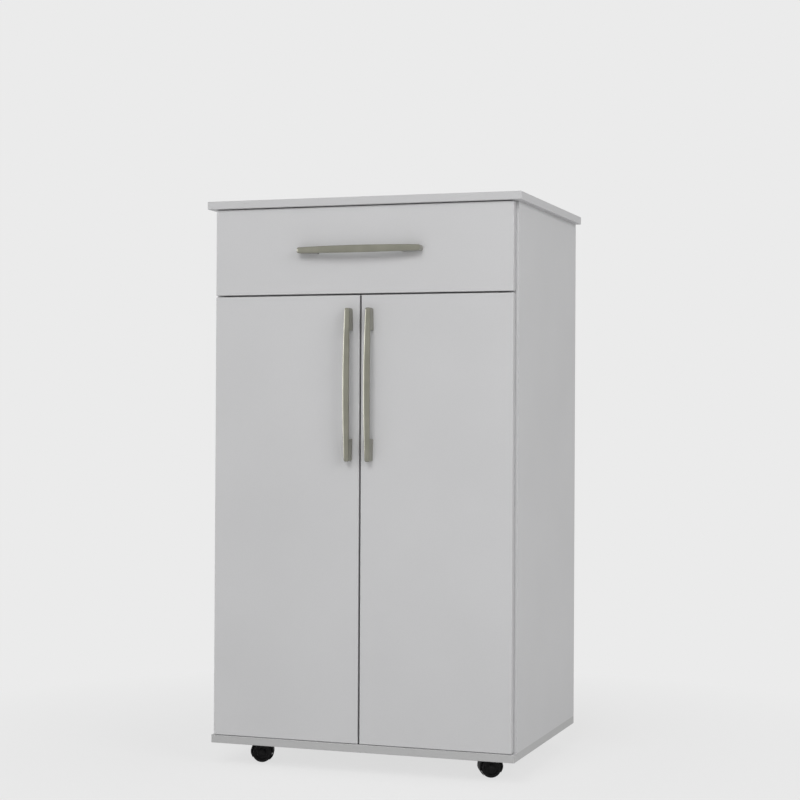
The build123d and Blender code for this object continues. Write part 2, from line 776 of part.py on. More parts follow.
with BuildPart() as drawer_side_right:
    mirror(drawer_side_left.part, about=Plane.YZ)
drawer_side_right.part.label = "drawer_side_right"
export_step(drawer_side_right.part, "parts/drawer_side_right.step")

with BuildPart() as drawer_back:
    with BuildSketch(Plane.XZ.offset(-y_drawer_end)):
        rectangle_between((-x_drawer_inside, z_drawer_groove_top), (x_drawer_inside, z_drawer_side_top))
    extrude(amount=drawer_back_thickness)
    for side in (-1, 1):
        with BuildSketch(Plane.YZ.offset(side * x_drawer_inside)):
            with Locations(*[(seat[1], seat[2]) for seat in drawer_screw_seats[:2]]):
                Circle(drawer_screw_diameter / 2 + fit)
        extrude(
            amount=-side * (drawer_screw_length - drawer_side_thickness + 0.5), mode=Mode.SUBTRACT
        )
drawer_back.part.label = "drawer_back"
export_step(drawer_back.part, "parts/drawer_back.step")

with BuildPart() as drawer_bottom:
    with BuildSketch(Plane.XY.offset(z_drawer_bottom_panel + groove_play)):
        rectangle_between(
            (
                -x_drawer_inside - drawer_groove_depth + groove_end_play,
                y_front_back - drawer_groove_depth + groove_end_play,
            ),
            (x_drawer_inside + drawer_groove_depth - groove_end_play, y_drawer_end),
        )
    extrude(amount=drawer_bottom_thickness)
drawer_bottom.part.label = "drawer_bottom"
export_step(drawer_bottom.part, "parts/drawer_bottom.step")

with BuildPart() as drawer_fittings:
    for fitting in drawer_cams:
        add([make_cam(fitting), make_cam_bolt(fitting)])
    for seat in drawer_screw_seats:
        inward = (-math.copysign(1, seat[0]), 0, 0)
        add(
            headed_screw(
                seat, inward, drawer_screw_diameter, drawer_screw_length, drawer_screw_head, 1.6
            )
        )
drawer_fittings.part.label = "drawer_fittings"
export_step(drawer_fittings.part, "parts/drawer_fittings.step")

with BuildPart() as drawer_handle:
    with Locations(drawer_handle_plane.location):
        add(make_handle(drawer_handle_pitch))
drawer_handle.part.label = "drawer_handle"
export_step(drawer_handle.part, "parts/drawer_handle.step")

with BuildPart() as drawer_handle_screws:
    with Locations(drawer_handle_plane.location):
        add(make_handle_screws(drawer_handle_pitch))
drawer_handle_screws.part.label = "drawer_handle_screws"
export_step(drawer_handle_screws.part, "parts/drawer_handle_screws.step")

# Roller runners. The fixed rail is a channel on the side panel with a roller at its front end;
# the drawer's rail hooks under the drawer side, carries a roller at its back end, and its lip
# runs on the fixed roller.
with BuildPart() as runner_rail_left:
    with BuildSketch(Plane.XZ.offset(-y_rail)):
        rectangle_between((-inner_half, z_rail), (-inner_half + rail_flange, z_rail + rail_height))
        rectangle_to_cut = (
            (-inner_half + rail_sheet, z_rail + rail_sheet),
            (-inner_half + rail_flange, z_rail + rail_height - rail_sheet),
        )
        with Locations(
            (
                (rectangle_to_cut[0][0] + rectangle_to_cut[1][0]) / 2,
                (rectangle_to_cut[0][1] + rectangle_to_cut[1][1]) / 2,
            )
        ):
            Rectangle(
                rectangle_to_cut[1][0] - rectangle_to_cut[0][0],
                rectangle_to_cut[1][1] - rectangle_to_cut[0][1],
                mode=Mode.SUBTRACT,
            )
    extrude(amount=-drawer_length)
    with BuildSketch(Plane.YZ.offset(-inner_half)):
        for y in y_rail_screws:
            with Locations((y, z_roller)):
                Circle(rail_screw_diameter / 2 + fit)
    extrude(amount=rail_sheet, mode=Mode.SUBTRACT)
    with BuildSketch(Plane.YZ.offset(-inner_half + rail_sheet / 2)):
        with Locations((y_front_roller, z_roller)):
            Circle(roller_pin_radius)
    extrude(amount=roller_offset + roller_width + lip_margin - rail_sheet / 2)
runner_rail_left.part.label = "runner_rail_left"
export_step(runner_rail_left.part, "parts/runner_rail_left.step")

with BuildPart() as runner_rail_right:
    mirror(runner_rail_left.part, about=Plane.YZ)
runner_rail_right.part.label = "runner_rail_right"
export_step(runner_rail_right.part, "parts/runner_rail_right.step")

with BuildPart() as drawer_rail_left:
    with BuildSketch(Plane.XZ.offset(-y_front_back)):
        rectangle_between(
            (-x_drawer_side - rail_sheet, z_drawer_side - rail_sheet), (-x_drawer_side, z_lip + rail_sheet)
        )
        rectangle_between(
            (-x_drawer_side - rail_sheet, z_drawer_side - rail_sheet),
            (-x_drawer_side + runner_foot, z_drawer_side),
        )
        rectangle_between(
            (-inner_half + roller_offset - lip_margin, z_lip), (-x_drawer_side, z_lip + rail_sheet)
        )
    extrude(amount=-drawer_length)
    with BuildSketch(Plane.YZ.offset(-x_drawer_side - rail_sheet / 2)):
        with Locations((y_rear_roller, z_roller)):
            Circle(roller_pin_radius)
    extrude(amount=-(runner_space - roller_offset + lip_margin - rail_sheet / 2))
drawer_rail_left.part.label = "drawer_rail_left"
export_step(drawer_rail_left.part, "parts/drawer_rail_left.step")

with BuildPart() as drawer_rail_right:
    mirror(drawer_rail_left.part, about=Plane.YZ)
drawer_rail_right.part.label = "drawer_rail_right"
export_step(drawer_rail_right.part, "parts/drawer_rail_right.step")

for roller_name, y in (("front", y_front_roller), ("rear", y_rear_roller)):
    with BuildPart() as rollers:
        for side in (-1, 1):
            with BuildSketch(Plane.YZ.offset(side * (inner_half - roller_offset))):
                with Locations((y, z_roller)):
                    Circle(roller_radius)
                    Circle(roller_pin_radius + fit, mode=Mode.SUBTRACT)
            extrude(amount=-side * roller_width)
    rollers.part.label = f"runner_rollers_{roller_name}"
    export_step(rollers.part, f"parts/{rollers.part.label}.step")

with BuildPart() as runner_screws:
    for side in (-1, 1):
        for y in y_rail_screws:
            seat = (side * (inner_half - rail_sheet), y, z_roller)
            add(
                headed_screw(
                    seat,
                    (side, 0, 0),
                    rail_screw_diameter,
                    rail_screw_length,
                    rail_screw_head,
                    rail_screw_head_height,
                )
            )
runner_screws.part.label = "runner_screws"
export_step(runner_screws.part, "parts/runner_screws.step")

# Casters, drawn once about their swivel axis with the wheels trailing towards +X
z_plate = caster_height - caster_plate_thickness
z_race = z_plate - caster_race_height
z_axle = wheel_diameter / 2
kingpin_length = z_plate - z_axle - kingpin_to_axle
hood_width = caster_web + 2 * (caster_play + wheel_width)
axle_point = (caster_trail, z_axle)
axle_plane = Plane(origin=(caster_trail, 0, z_axle), x_dir=(0, 1, 0), z_dir=(1, 0, 0))
hood_sweep = hood_leading_angle - hood_trailing_angle


def hood_point(radius, angle):
    """A point of the hood's section, at a radius and an angle about the axle."""
    turn = math.radians(angle)
    return (caster_trail + radius * math.cos(turn), z_axle + radius * math.sin(turn))


with BuildPart() as caster_plate_shape:
    with BuildSketch(Plane.XY.offset(z_plate)):
        RectangleRounded(caster_plate_side, caster_plate_side, 5.0)
        with GridLocations(caster_screw_pitch, caster_screw_pitch, 2, 2):
            Circle(caster_screw_diameter / 2 + fit, mode=Mode.SUBTRACT)
    extrude(amount=caster_plate_thickness)
    with BuildSketch(Plane.XY.offset(z_plate)):
        Circle(caster_race_radius)
    extrude(amount=-caster_race_height, taper=25)
    with BuildSketch(Plane.XY.offset(z_plate)):
        Circle(kingpin_radius)
    extrude(amount=-kingpin_length)

with BuildPart() as caster_housing_shape:
    with BuildSketch(Plane.XZ):
        with BuildLine():
            CenterArc(axle_point, hood_radius, hood_trailing_angle, hood_sweep)
            Line(
                hood_point(hood_radius, hood_leading_angle),
                hood_point(hood_radius - hood_thickness, hood_leading_angle),
            )
            CenterArc(axle_point, hood_radius - hood_thickness, hood_leading_angle, -hood_sweep)
            Line(
                hood_point(hood_radius - hood_thickness, hood_trailing_angle),
                hood_point(hood_radius, hood_trailing_angle),
            )
        make_face()
    extrude(amount=hood_width / 2, both=True)
    outer_rims = caster_housing_shape.edges().filter_by(
        lambda edge: edge.geom_type == GeomType.CIRCLE and abs(edge.radius - hood_radius) < 0.01
    )
    fillet(outer_rims, hood_thickness * 0.8)
    with BuildSketch(Plane.XZ):
        with BuildLine():
            CenterArc(axle_point, hood_radius - hood_thickness / 2, hood_trailing_angle, hood_sweep)
            Line(hood_point(hood_radius - hood_thickness / 2, hood_leading_angle), axle_point)
            Line(axle_point, hood_point(hood_radius - hood_thickness / 2, hood_trailing_angle))
        make_face()
        with Locations(axle_point):
            Circle(axle_boss_radius)
    extrude(amount=caster_web / 2, both=True)
    with BuildSketch(Plane.XY.offset(z_axle)):
        Circle(kingpin_boss_radius)
    extrude(amount=z_race - caster_play - z_axle)
    with BuildSketch(Plane.XY.offset(z_axle + hood_radius - hood_thickness)):
        Circle(caster_race_radius - 1.0)
    extrude(amount=z_race - caster_play - z_axle - hood_radius + hood_thickness)
    with BuildSketch(Plane.XY.offset(z_plate - kingpin_length - 0.5)):
        Circle(kingpin_radius + fit)
    extrude(amount=kingpin_length, mode=Mode.SUBTRACT)
    with BuildSketch(Plane.XZ):
        with Locations(axle_point):
            Circle(axle_radius + fit)
    extrude(amount=hood_width, both=True, mode=Mode.SUBTRACT)

wheel_inner = caster_web / 2 + caster_play
wheel_outer = wheel_inner + wheel_width
wheel_radius = wheel_diameter / 2
with BuildPart() as caster_wheels_shape:
    with BuildSketch(axle_plane):
        with BuildLine():
            Polyline(
                (wheel_outer - axle_cap, axle_radius + fit),
                (wheel_inner, axle_radius + fit),
                (wheel_inner, wheel_radius - wheel_edge_radius),
            )
            RadiusArc(
                (wheel_inner, wheel_radius - wheel_edge_radius),
                (wheel_inner + wheel_edge_radius, wheel_radius),
                wheel_edge_radius,
            )
            Line(
                (wheel_inner + wheel_edge_radius, wheel_radius),
                (wheel_outer - wheel_edge_radius, wheel_radius),
            )
            RadiusArc(
                (wheel_outer - wheel_edge_radius, wheel_radius),
                (wheel_outer, wheel_radius - wheel_edge_radius),
                wheel_edge_radius,
            )
            Polyline(
                (wheel_outer, wheel_radius - wheel_edge_radius),
                (wheel_outer, wheel_radius - 5.0),
                (wheel_outer - wheel_dish, wheel_radius - 6.5),
                (wheel_outer - wheel_dish, 7.5),
                (wheel_outer - 0.5, 6.0),
                (wheel_outer - 0.5, 0),
                (wheel_outer - axle_cap, 0),
                (wheel_outer - axle_cap, axle_radius + fit),
            )
        make_face()
    revolve(axis=Axis((caster_trail, 0, z_axle), (0, 1, 0)))
    mirror(about=Plane.XZ)

with BuildPart() as caster_axle_shape:
    with BuildSketch(Plane.XZ):
        with Locations(axle_point):
            Circle(axle_radius)
    extrude(amount=wheel_outer - axle_cap - 0.2, both=True)

for corner, (x, y) in caster_places.items():
    for piece_name, shape, turn in (
        ("caster_plate", caster_plate_shape.part, 0.0),
        ("caster_housing", caster_housing_shape.part, caster_angles[corner]),
        ("caster_wheels", caster_wheels_shape.part, caster_angles[corner]),
        ("caster_axle", caster_axle_shape.part, caster_angles[corner]),
    ):
        with BuildPart() as caster_piece:
            with Locations(Location((x, y, 0), (0, 0, turn))):
                add(shape)
        caster_piece.part.label = f"{piece_name}_{corner}"
        export_step(caster_piece.part, f"parts/{caster_piece.part.label}.step")

with BuildPart() as caster_screws:
    for x, y in caster_screw_places:
        add(
            headed_screw(
                (x, y, z_plate),
                (0, 0, 1),
                caster_screw_diameter,
                caster_screw_length,
                caster_screw_head,
                caster_screw_head_height,
            )
        )
caster_screws.part.label = "caster_screws"
export_step(caster_screws.part, "parts/caster_screws.step")
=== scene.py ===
"""A kitchen storage cabinet on casters, dressed for its photograph.

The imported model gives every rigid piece. This file gives each of them its finish, draws the
handles, screws, cams and caster hoods finer than the model does, adds the small trim that the
model leaves out, and sets up the camera, the lights and the floor.
"""

import json
import logging
import math
from dataclasses import dataclass, field
from enum import Enum

import bmesh
import bpy
from mathutils import Matrix, Vector


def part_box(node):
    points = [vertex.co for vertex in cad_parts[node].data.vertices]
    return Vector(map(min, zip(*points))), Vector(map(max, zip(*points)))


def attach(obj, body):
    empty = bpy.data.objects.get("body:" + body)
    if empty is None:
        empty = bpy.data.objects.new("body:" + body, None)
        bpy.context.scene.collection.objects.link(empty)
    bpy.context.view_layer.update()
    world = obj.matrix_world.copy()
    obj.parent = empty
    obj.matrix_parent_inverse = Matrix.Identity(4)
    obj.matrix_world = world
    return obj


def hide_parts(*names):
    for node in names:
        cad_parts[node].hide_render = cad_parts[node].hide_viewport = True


log = logging.getLogger("storage_cabinet")
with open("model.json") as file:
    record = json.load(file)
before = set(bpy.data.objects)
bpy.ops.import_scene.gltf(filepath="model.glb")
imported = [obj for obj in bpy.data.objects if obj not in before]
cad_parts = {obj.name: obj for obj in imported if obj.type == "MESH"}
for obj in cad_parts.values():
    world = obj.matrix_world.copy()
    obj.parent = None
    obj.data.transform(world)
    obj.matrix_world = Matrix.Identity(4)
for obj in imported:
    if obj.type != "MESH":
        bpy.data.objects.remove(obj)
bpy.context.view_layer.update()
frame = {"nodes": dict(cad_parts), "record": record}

Tree, Node, Socket = bpy.types.NodeTree, bpy.types.Node, bpy.types.NodeSocket
Material, Mesh, Object = bpy.types.Material, bpy.types.Mesh, bpy.types.Object
Triple = tuple[float, float, float]
Box = tuple[Vector, Vector]

MM = 0.001
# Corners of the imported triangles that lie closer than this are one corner.
WELD = 0.002 * MM
# Most values of a noise pattern lie between these two.
NOISE_LOW, NOISE_HIGH = 0.35, 0.65
# From the cabinet's back towards its front.
FORWARD = (0, -1, 0)


class Side(Enum):
    """Left or right, as seen from the front, with the sign of X there."""

    LEFT = -1
    RIGHT = 1

    @property
    def word(self) -> str:
        """The side's name as the nodes spell it."""
        return self.name.lower()

    def inner_x(self, box: Box) -> float:
        """The X of a box's face that looks to the middle of the cabinet."""
        return box[1].x if self is Side.LEFT else box[0].x


class Corner(Enum):
    """Where a caster stands."""

    FRONT_LEFT = "front_left"
    FRONT_RIGHT = "front_right"
    REAR_LEFT = "rear_left"
    REAR_RIGHT = "rear_right"


class Flat(Enum):
    """The axis that a board's thickness lies along."""

    X = 0
    Y = 1
    Z = 2


def linear(colour: str) -> tuple[float, float, float, float]:
    """Turns an sRGB hex colour into the linear colour that a shader takes.

    Args:
        colour: six hex digits after a hash sign.

    Returns:
        Red, green, blue and an alpha of one.
    """
    channels = [int(colour[i : i + 2], 16) / 255 for i in (1, 3, 5)]
    curve = [c / 12.92 if c <= 0.04045 else ((c + 0.055) / 1.055) ** 2.4 for c in channels]
    return (curve[0], curve[1], curve[2], 1.0)


def set_inputs(node: Node, inputs: dict) -> None:
    """Sets or links a node's inputs.

    Args:
        node: the node.
        inputs: for each input, by name or number, a value, a socket, a node whose first working
            output is linked, or a list of these for an input that takes several.
    """
    for name, given in inputs.items():
        for value in given if isinstance(given, list) else [given]:
            if isinstance(value, Node):
                value = next(output for output in value.outputs if output.enabled)
            if isinstance(value, Socket):
                node.id_data.links.new(value, node.inputs[name])
            else:
                node.inputs[name].default_value = value


def add_node(tree: Tree, kind: str, inputs: dict, **settings: object) -> Node:
    """Adds a node with its settings and links.

    Args:
        tree: the shader or geometry tree.
        kind: Blender's name for the node's type.
        inputs: its inputs, as set_inputs takes them.
        **settings: the node's own properties.

    Returns:
        The new node.
    """
    node = tree.nodes.new(kind)
    for name, value in settings.items():
        setattr(node, name, value)
    set_inputs(node, inputs)
    return node


def new_material(name: str) -> tuple[Material, Tree, Node, Socket]:
    """Starts a material.

    Args:
        name: the finish it stands for.

    Returns:
        The material, its tree, its Principled shader and the object's own coordinates.
    """
    material = bpy.data.materials.new(name)
    material.use_nodes = True
    tree = material.node_tree
    place = add_node(tree, "ShaderNodeTexCoord", {}).outputs["Object"]
    return material, tree, tree.nodes["Principled BSDF"], place


def layered(tree: Tree, base: str, *layers: tuple) -> Node:
    """Lays colours over each other.

    Args:
        tree: the material's tree.
        base: the lowest colour, in hex.
        *layers: a share, a hex colour or a node, and where it isn't a plain mix, the way of
            blending, for each colour from the lowest up.

    Returns:
        The node that gives the colour on top.
    """
    below = linear(base)
    for share, colour, *blend in layers:
        below = add_node(
            tree,
            "ShaderNodeMix",
            {0: share, 6: below, 7: linear(colour) if isinstance(colour, str) else colour},
            data_type="RGBA",
            blend_type=blend[0] if blend else "MIX",
        )
    return below


@dataclass(frozen=True)
class Finish:
    """A finish whose colour, gloss and relief drift a little over real distances."""

    name: str
    colour: str
    drift: str
    roughness: float
    patch: float
    grain: float
    grain_height: float = 0.01 * MM
    gloss_drift: float = 0.05
    metallic: float = 0.0
    ior: float = 1.5
    transmission: float = 0.0
    coat: float = 0.0
    coat_roughness: float = 0.12

    def material(self) -> Material:
        """Builds the material once, and gives it again when it is asked for again.

        Returns:
            The material.
        """
        if self.name in bpy.data.materials:
            return bpy.data.materials[self.name]
        material, tree, shader, place = new_material(self.name)
        patches, grain = (
            add_node(tree, "ShaderNodeTexNoise", {"Vector": place, "Scale": 1 / size, "Detail": detail})
            for size, detail in ((self.patch, 2.0), (self.grain, 3.0))
        )
        share = add_node(tree, "ShaderNodeMapRange", {0: patches, 1: NOISE_LOW, 2: NOISE_HIGH})
        low, high = self.roughness - self.gloss_drift, self.roughness + self.gloss_drift
        gloss = add_node(
            tree, "ShaderNodeMapRange", {0: grain, 1: NOISE_LOW, 2: NOISE_HIGH, 3: low, 4: high}
        )
        relief = add_node(
            tree, "ShaderNodeBump", {"Height": grain, "Distance": self.grain_height, "Strength": 1.0}
        )
        colour = layered(tree, self.colour, (share, self.drift))
        set_inputs(shader, {"Base Color": colour, "Roughness": gloss, "Normal": relief})
        set_inputs(shader, {"Metallic": self.metallic, "Transmission Weight": self.transmission})
        set_inputs(shader, {"Coat Weight": self.coat, "Coat Roughness": self.coat_roughness})
        if not self.metallic:
            set_inputs(shader, {"IOR": self.ior})
        return material


# Champagne-grey metallic lacquer on die-cast zinc: an olive-grey body of fine aluminium flakes,
# with a clear top coat that draws a thin light line along the crown of the bow.
HANDLE_LACQUER = Finish(
    "satin_metallic_lacquer", "#7D7C6F", "#868578", 0.34,
    patch=34.0 * MM, grain=0.5 * MM, grain_height=0.003 * MM, metallic=0.6, coat=0.8,
)
# Bright nickel on pressed steel, rolled and tumbled before plating, so its gloss is uneven.
PLATED_HINGE_STEEL = Finish(
    "nickel_plated_hinge_steel", "#B4B2AC", "#A6A49D", 0.26,
    patch=14.0 * MM, grain=0.6 * MM, grain_height=0.006 * MM, gloss_drift=0.08, metallic=1.0,
)
# Blue-passivated zinc: duller than nickel, with cloudy patches from the bath.
ZINC_PLATE = Finish(
    "zinc_plated_steel", "#A3A5A6", "#B4B3AE", 0.38,
    patch=8.0 * MM, grain=0.4 * MM, grain_height=0.008 * MM, gloss_drift=0.1, metallic=1.0,
)
# Epoxy powder baked on sheet steel: matt, off-white, with a faint orange peel.
POWDER_COAT = Finish(
    "white_powder_coat", "#DDDDD8", "#D4D4CE", 0.48,
    patch=50.0 * MM, grain=1.4 * MM, grain_height=0.02 * MM,
)
# Natural nylon, injection moulded: an opaque milky white with a soft sheen.
WHITE_NYLON = Finish(
    "white_nylon", "#E4E3DC", "#D9D8CF", 0.36, patch=12.0 * MM, grain=0.7 * MM,
)
# Black nylon of the caster hoods, straight from a spark-eroded mould, so finely grained and matt.
BLACK_NYLON = Finish(
    "black_moulded_nylon", "#0D0D0E", "#131314", 0.6, ior=1.3,
    patch=9.0 * MM, grain=0.5 * MM, grain_height=0.02 * MM, gloss_drift=0.08,
)
# The same nylon on the wheels, dulled and greyed by rolling over dusty floors.
WORN_BLACK_NYLON = Finish(
    "worn_black_nylon", "#0F0F10", "#1A1A1A", 0.65, ior=1.3,
    patch=5.0 * MM, grain=0.4 * MM, grain_height=0.03 * MM, gloss_drift=0.1,
)
# Clear soft plastic of the stick-on buffers, cast in drops, so smooth and nearly see-through.
CLEAR_BUFFER = Finish(
    "clear_soft_plastic", "#E8E9E6", "#DDDEDA", 0.2,
    patch=6.0 * MM, grain=0.5 * MM, grain_height=0.004 * MM, transmission=0.7,
)


@dataclass(frozen=True)
class FacedBoard:
    """Particle board faced with matt melamine, its edges covered with a glued band.

    The faces have a faint pearl print and the shallow dimples of the press plate. The band is a
    shade different and meets the face in a hairline of glue. Holes and grooves show raw chips, a
    few millimetres long and in several browns.
    """

    name: str
    flat: Flat
    box: Box
    band: str = "#BDBDBE"
    face: str = "#C4C4C5"
    face_drift: str = "#C1C1C2"
    glue: str = "#7D7B76"
    glue_share: float = 0.35
    light_chip: str = "#A98A5F"
    dark_chip: str = "#7A5C38"
    chip: Triple = (3.5 * MM, 3.5 * MM, 1.6 * MM)
    patch: float = 260.0 * MM
    print_dot: float = 2.2 * MM
    print_shade: float = 0.985
    dimple: float = 1.6 * MM
    dimple_depth: float = 0.012 * MM
    roughness: float = 0.44
    gloss_drift: float = 0.03
    raw_roughness: float = 0.9

    def depth_inside(self, tree: Tree, place: Socket) -> tuple[Socket, Node]:
        """How deep a point lies under the board's faces and under its edges.

        Args:
            tree: the material's tree.
            place: the object's own coordinates.

        Returns:
            The depth under the faces and the depth under the edges, in metres.
        """
        low, high = self.box
        from_low = add_node(tree, "ShaderNodeVectorMath", {0: place, 1: low}, operation="SUBTRACT")
        from_high = add_node(tree, "ShaderNodeVectorMath", {0: high, 1: place}, operation="SUBTRACT")
        nearest = add_node(
            tree, "ShaderNodeVectorMath", {0: from_low, 1: from_high}, operation="MINIMUM"
        )
        parts = add_node(tree, "ShaderNodeSeparateXYZ", {0: nearest}).outputs
        first, second = (parts[i] for i in range(3) if i != self.flat.value)
        edge = add_node(tree, "ShaderNodeMath", {0: first, 1: second}, operation="MINIMUM")
        return parts[self.flat.value], edge

    def raw_chips(self, tree: Tree, place: Socket) -> Node:
        """The chips of a cut through the board.

        Args:
            tree: the material's tree.
            place: the object's own coordinates.

        Returns:
            The node that gives their colour.
        """
        scale = tuple(1 / size for size in self.chip)
        chips = add_node(tree, "ShaderNodeMapping", {"Vector": place, "Scale": scale})
        chips = add_node(tree, "ShaderNodeTexVoronoi", {"Vector": chips, "Scale": 1.0})
        tone = add_node(tree, "ShaderNodeSeparateColor", {"Color": chips.outputs["Color"]})
        return layered(tree, self.light_chip, (tone, self.dark_chip))

    def material(self) -> Material:
        """Builds the board's material.

        Returns:
            The material.
        """
        material, tree, shader, place = new_material(f"faced_board_{self.name}")
        patches, print_dots, dimples = (
            add_node(tree, "ShaderNodeTexNoise", {"Vector": place, "Scale": 1 / size, "Detail": detail})
            for size, detail in ((self.patch, 2.0), (self.print_dot, 1.0), (self.dimple, 1.0))
        )
        drift, pearl, gloss = (
            add_node(
                tree, "ShaderNodeMapRange", {0: noise, 1: NOISE_LOW, 2: NOISE_HIGH, 3: low, 4: high}
            )
            for noise, low, high in (
                (patches, 0.0, 1.0),
                (print_dots, self.print_shade, 1.0),
                (dimples, self.roughness - self.gloss_drift, self.roughness + self.gloss_drift),
            )
        )
        under_face, under_edge = self.depth_inside(tree, place)
        # Each of these goes from nought to one between two depths in millimetres.
        past_face, past_glue, on_glue, in_face, in_edge = (
            add_node(tree, "ShaderNodeMapRange", {0: depth, 1: start * MM, 2: end * MM})
            for depth, start, end in (
                (under_face, 0.5, 0.7),
                (under_face, 0.55, 0.75),
                (under_face, 0.35, 0.5),
                (under_face, 0.3, 0.4),
                (under_edge, 0.7, 0.9),
            )
        )
        seam = add_node(tree, "ShaderNodeMath", {0: on_glue, 1: past_glue}, operation="SUBTRACT")
        seam = add_node(tree, "ShaderNodeMath", {0: seam, 1: self.glue_share}, operation="MULTIPLY")
        cut = add_node(tree, "ShaderNodeMath", {0: in_edge, 1: in_face}, operation="MULTIPLY")
        colour = layered(
            tree,
            self.face,
            (drift, self.face_drift),
            (1.0, pearl, "MULTIPLY"),
            (past_face, self.band),
            (seam, self.glue),
            (cut, self.raw_chips(tree, place)),
        )
        rough = add_node(tree, "ShaderNodeMix", {0: cut, 2: gloss, 3: self.raw_roughness})
        relief = add_node(
            tree, "ShaderNodeBump", {"Height": dimples, "Distance": self.dimple_depth, "Strength": 1.0}
        )
        set_inputs(shader, {"Base Color": colour, "Roughness": rough, "Normal": relief, "IOR": 1.5})
        return material


@dataclass(frozen=True)
class Hardboard:
    """Thin hardboard, lacquered grey on the side that shows, with brown felted fibres behind."""

    name: str
    flat: Flat
    raw_from: float
    raw_is_higher: bool
    face: str = "#C6C6C6"
    face_drift: str = "#C1C1C0"
    fibre_dark: str = "#6E4F33"
    fibre_light: str = "#8A6844"
    cloud: str = "#5E432B"
    cloud_share: float = 0.45
    fibre: float = 5.0 * MM
    fibre_height: float = 0.03 * MM
    patch: float = 120.0 * MM
    roughness: float = 0.42
    raw_roughness: float = 0.78

    def material(self) -> Material:
        """Builds the two-sided material.

        Returns:
            The material.
        """
        material, tree, shader, place = new_material(f"hardboard_{self.name}")
        along = add_node(tree, "ShaderNodeSeparateXYZ", {0: place}).outputs[self.flat.value]
        at_low, at_high = (0.0, 1.0) if self.raw_is_higher else (1.0, 0.0)
        fibres, clouds = (
            add_node(tree, "ShaderNodeTexNoise", {"Vector": place, "Scale": 1 / size, "Detail": detail})
            for size, detail in ((self.fibre, 6.0), (self.patch, 2.0))
        )
        raw, felt, dark, drift = (
            add_node(tree, "ShaderNodeMapRange", {0: value, 1: start, 2: end, 3: low, 4: high})
            for value, start, end, low, high in (
                (along, self.raw_from, self.raw_from + 0.1 * MM, at_low, at_high),
                (fibres, 0.3, 0.7, 0.0, 1.0),
                (clouds, NOISE_LOW, NOISE_HIGH, 0.0, self.cloud_share),
                (clouds, NOISE_LOW, NOISE_HIGH, 0.0, 1.0),
            )
        )
        brown = layered(tree, self.fibre_dark, (felt, self.fibre_light), (dark, self.cloud))
        colour = layered(tree, self.face, (drift, self.face_drift), (raw, brown))
        rough = add_node(tree, "ShaderNodeMix", {0: raw, 2: self.roughness, 3: self.raw_roughness})
        relief = add_node(
            tree, "ShaderNodeBump", {"Height": fibres, "Distance": self.fibre_height, "Strength": 0.8}
        )
        set_inputs(shader, {"Base Color": colour, "Roughness": rough, "Normal": relief})
        return material


def add_object(name: str, data: bpy.types.ID) -> Object:
    """Adds an object to the scene.

    Args:
        name: its name.
        data: its mesh, lamp or camera.

    Returns:
        The object.
    """
    thing = bpy.data.objects.new(name, data)
    bpy.context.scene.collection.objects.link(thing)
    return thing


def place_piece(piece: Object, body: str, nodes: tuple, material: Material) -> None:
    """Puts a finished piece on its body, in place of the nodes it stands for.

    Args:
        piece: the object, its place in its mesh.
        body: the body it rides on.
        nodes: the nodes it replaces.
        material: its one material. A geometry tree leaves an empty slot before its own.
    """
    piece.data.materials.clear()
    piece.data.materials.append(material)
    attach(piece, body)
    if nodes:
        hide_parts(*nodes)
    log.info("%s: %d faces on %s", piece.name, len(piece.data.polygons), body)


def body_of(node: str) -> str:
    """The body that a node belongs to."""
    bodies = frame["record"]["behaviour"]["bodies"]
    return next(name for name, members in bodies.items() if node in members)


def slot_of(node: str) -> str:
    """The record's material slot of a node."""
    return next(s["material_slot"] for s in frame["record"]["subparts"] if s["node"] == node)


def stand_in(piece: Object, node: str, material: Material) -> None:
    """Puts a piece in place of one node, on its body, with the given material."""
    place_piece(piece, body_of(node), (node,), material)


def dress_node(node: str, material: Material) -> None:
    """Gives a carried-over node its material.

    Args:
        node: the node.
        material: its material.
    """
    mesh = frame["nodes"][node].data
    mesh.materials.clear()
    mesh.materials.append(material)
    log.info("%s: %s", node, material.name)


def merged_mesh(node: str) -> Mesh:
    """Copies a node's mesh and joins its loose triangles at their corners.

    Args:
        node: the node.

    Returns:
        The copy.
    """
    mesh = frame["nodes"][node].data.copy()
    shape = bmesh.new()
    shape.from_mesh(mesh)
    bmesh.ops.remove_doubles(shape, verts=shape.verts, dist=WELD)
    shape.to_mesh(mesh)
    shape.free()
    return mesh


def keep_result(worker: Object, crease: float = 28.0) -> Object:
    """Turns an object with modifiers into a plain one, shaded smooth between its real edges.

    Args:
        worker: the object, which is used up.
        crease: faces that meet at more than this many degrees keep a sharp edge.

    Returns:
        The plain object, under the same name.
    """
    depsgraph = bpy.context.evaluated_depsgraph_get()
    mesh = bpy.data.meshes.new_from_object(worker.evaluated_get(depsgraph), depsgraph=depsgraph)
    name, old = worker.name, worker.data
    bpy.data.objects.remove(worker)
    bpy.data.meshes.remove(old)
    mesh.shade_smooth()
    mesh.set_sharp_from_angle(angle=math.radians(crease))
    return add_object(name, mesh)


def smooth_copy(node: str, material: Material) -> None:
    """Shows a copy of a node that is shaded smooth between its real edges.

    Args:
        node: the node to copy.
        material: the copy's material.
    """
    stand_in(keep_result(add_object(f"{node}_smooth", merged_mesh(node))), node, material)


def cut_or_join(worker: Object, tool: Object, operation: str) -> Object:
    """Cuts a tool out of a shape, or joins it on.

    Args:
        worker: the shape, which is used up.
        tool: the tool, which is used up.
        operation: the boolean modifier's operation.

    Returns:
        The plain result, under the shape's name.
    """
    modifier = worker.modifiers.new("boolean", "BOOLEAN")
    modifier.object = tool
    modifier.operation = operation
    modifier.solver = "EXACT"
    result = keep_result(worker)
    bpy.data.objects.remove(tool)
    return result


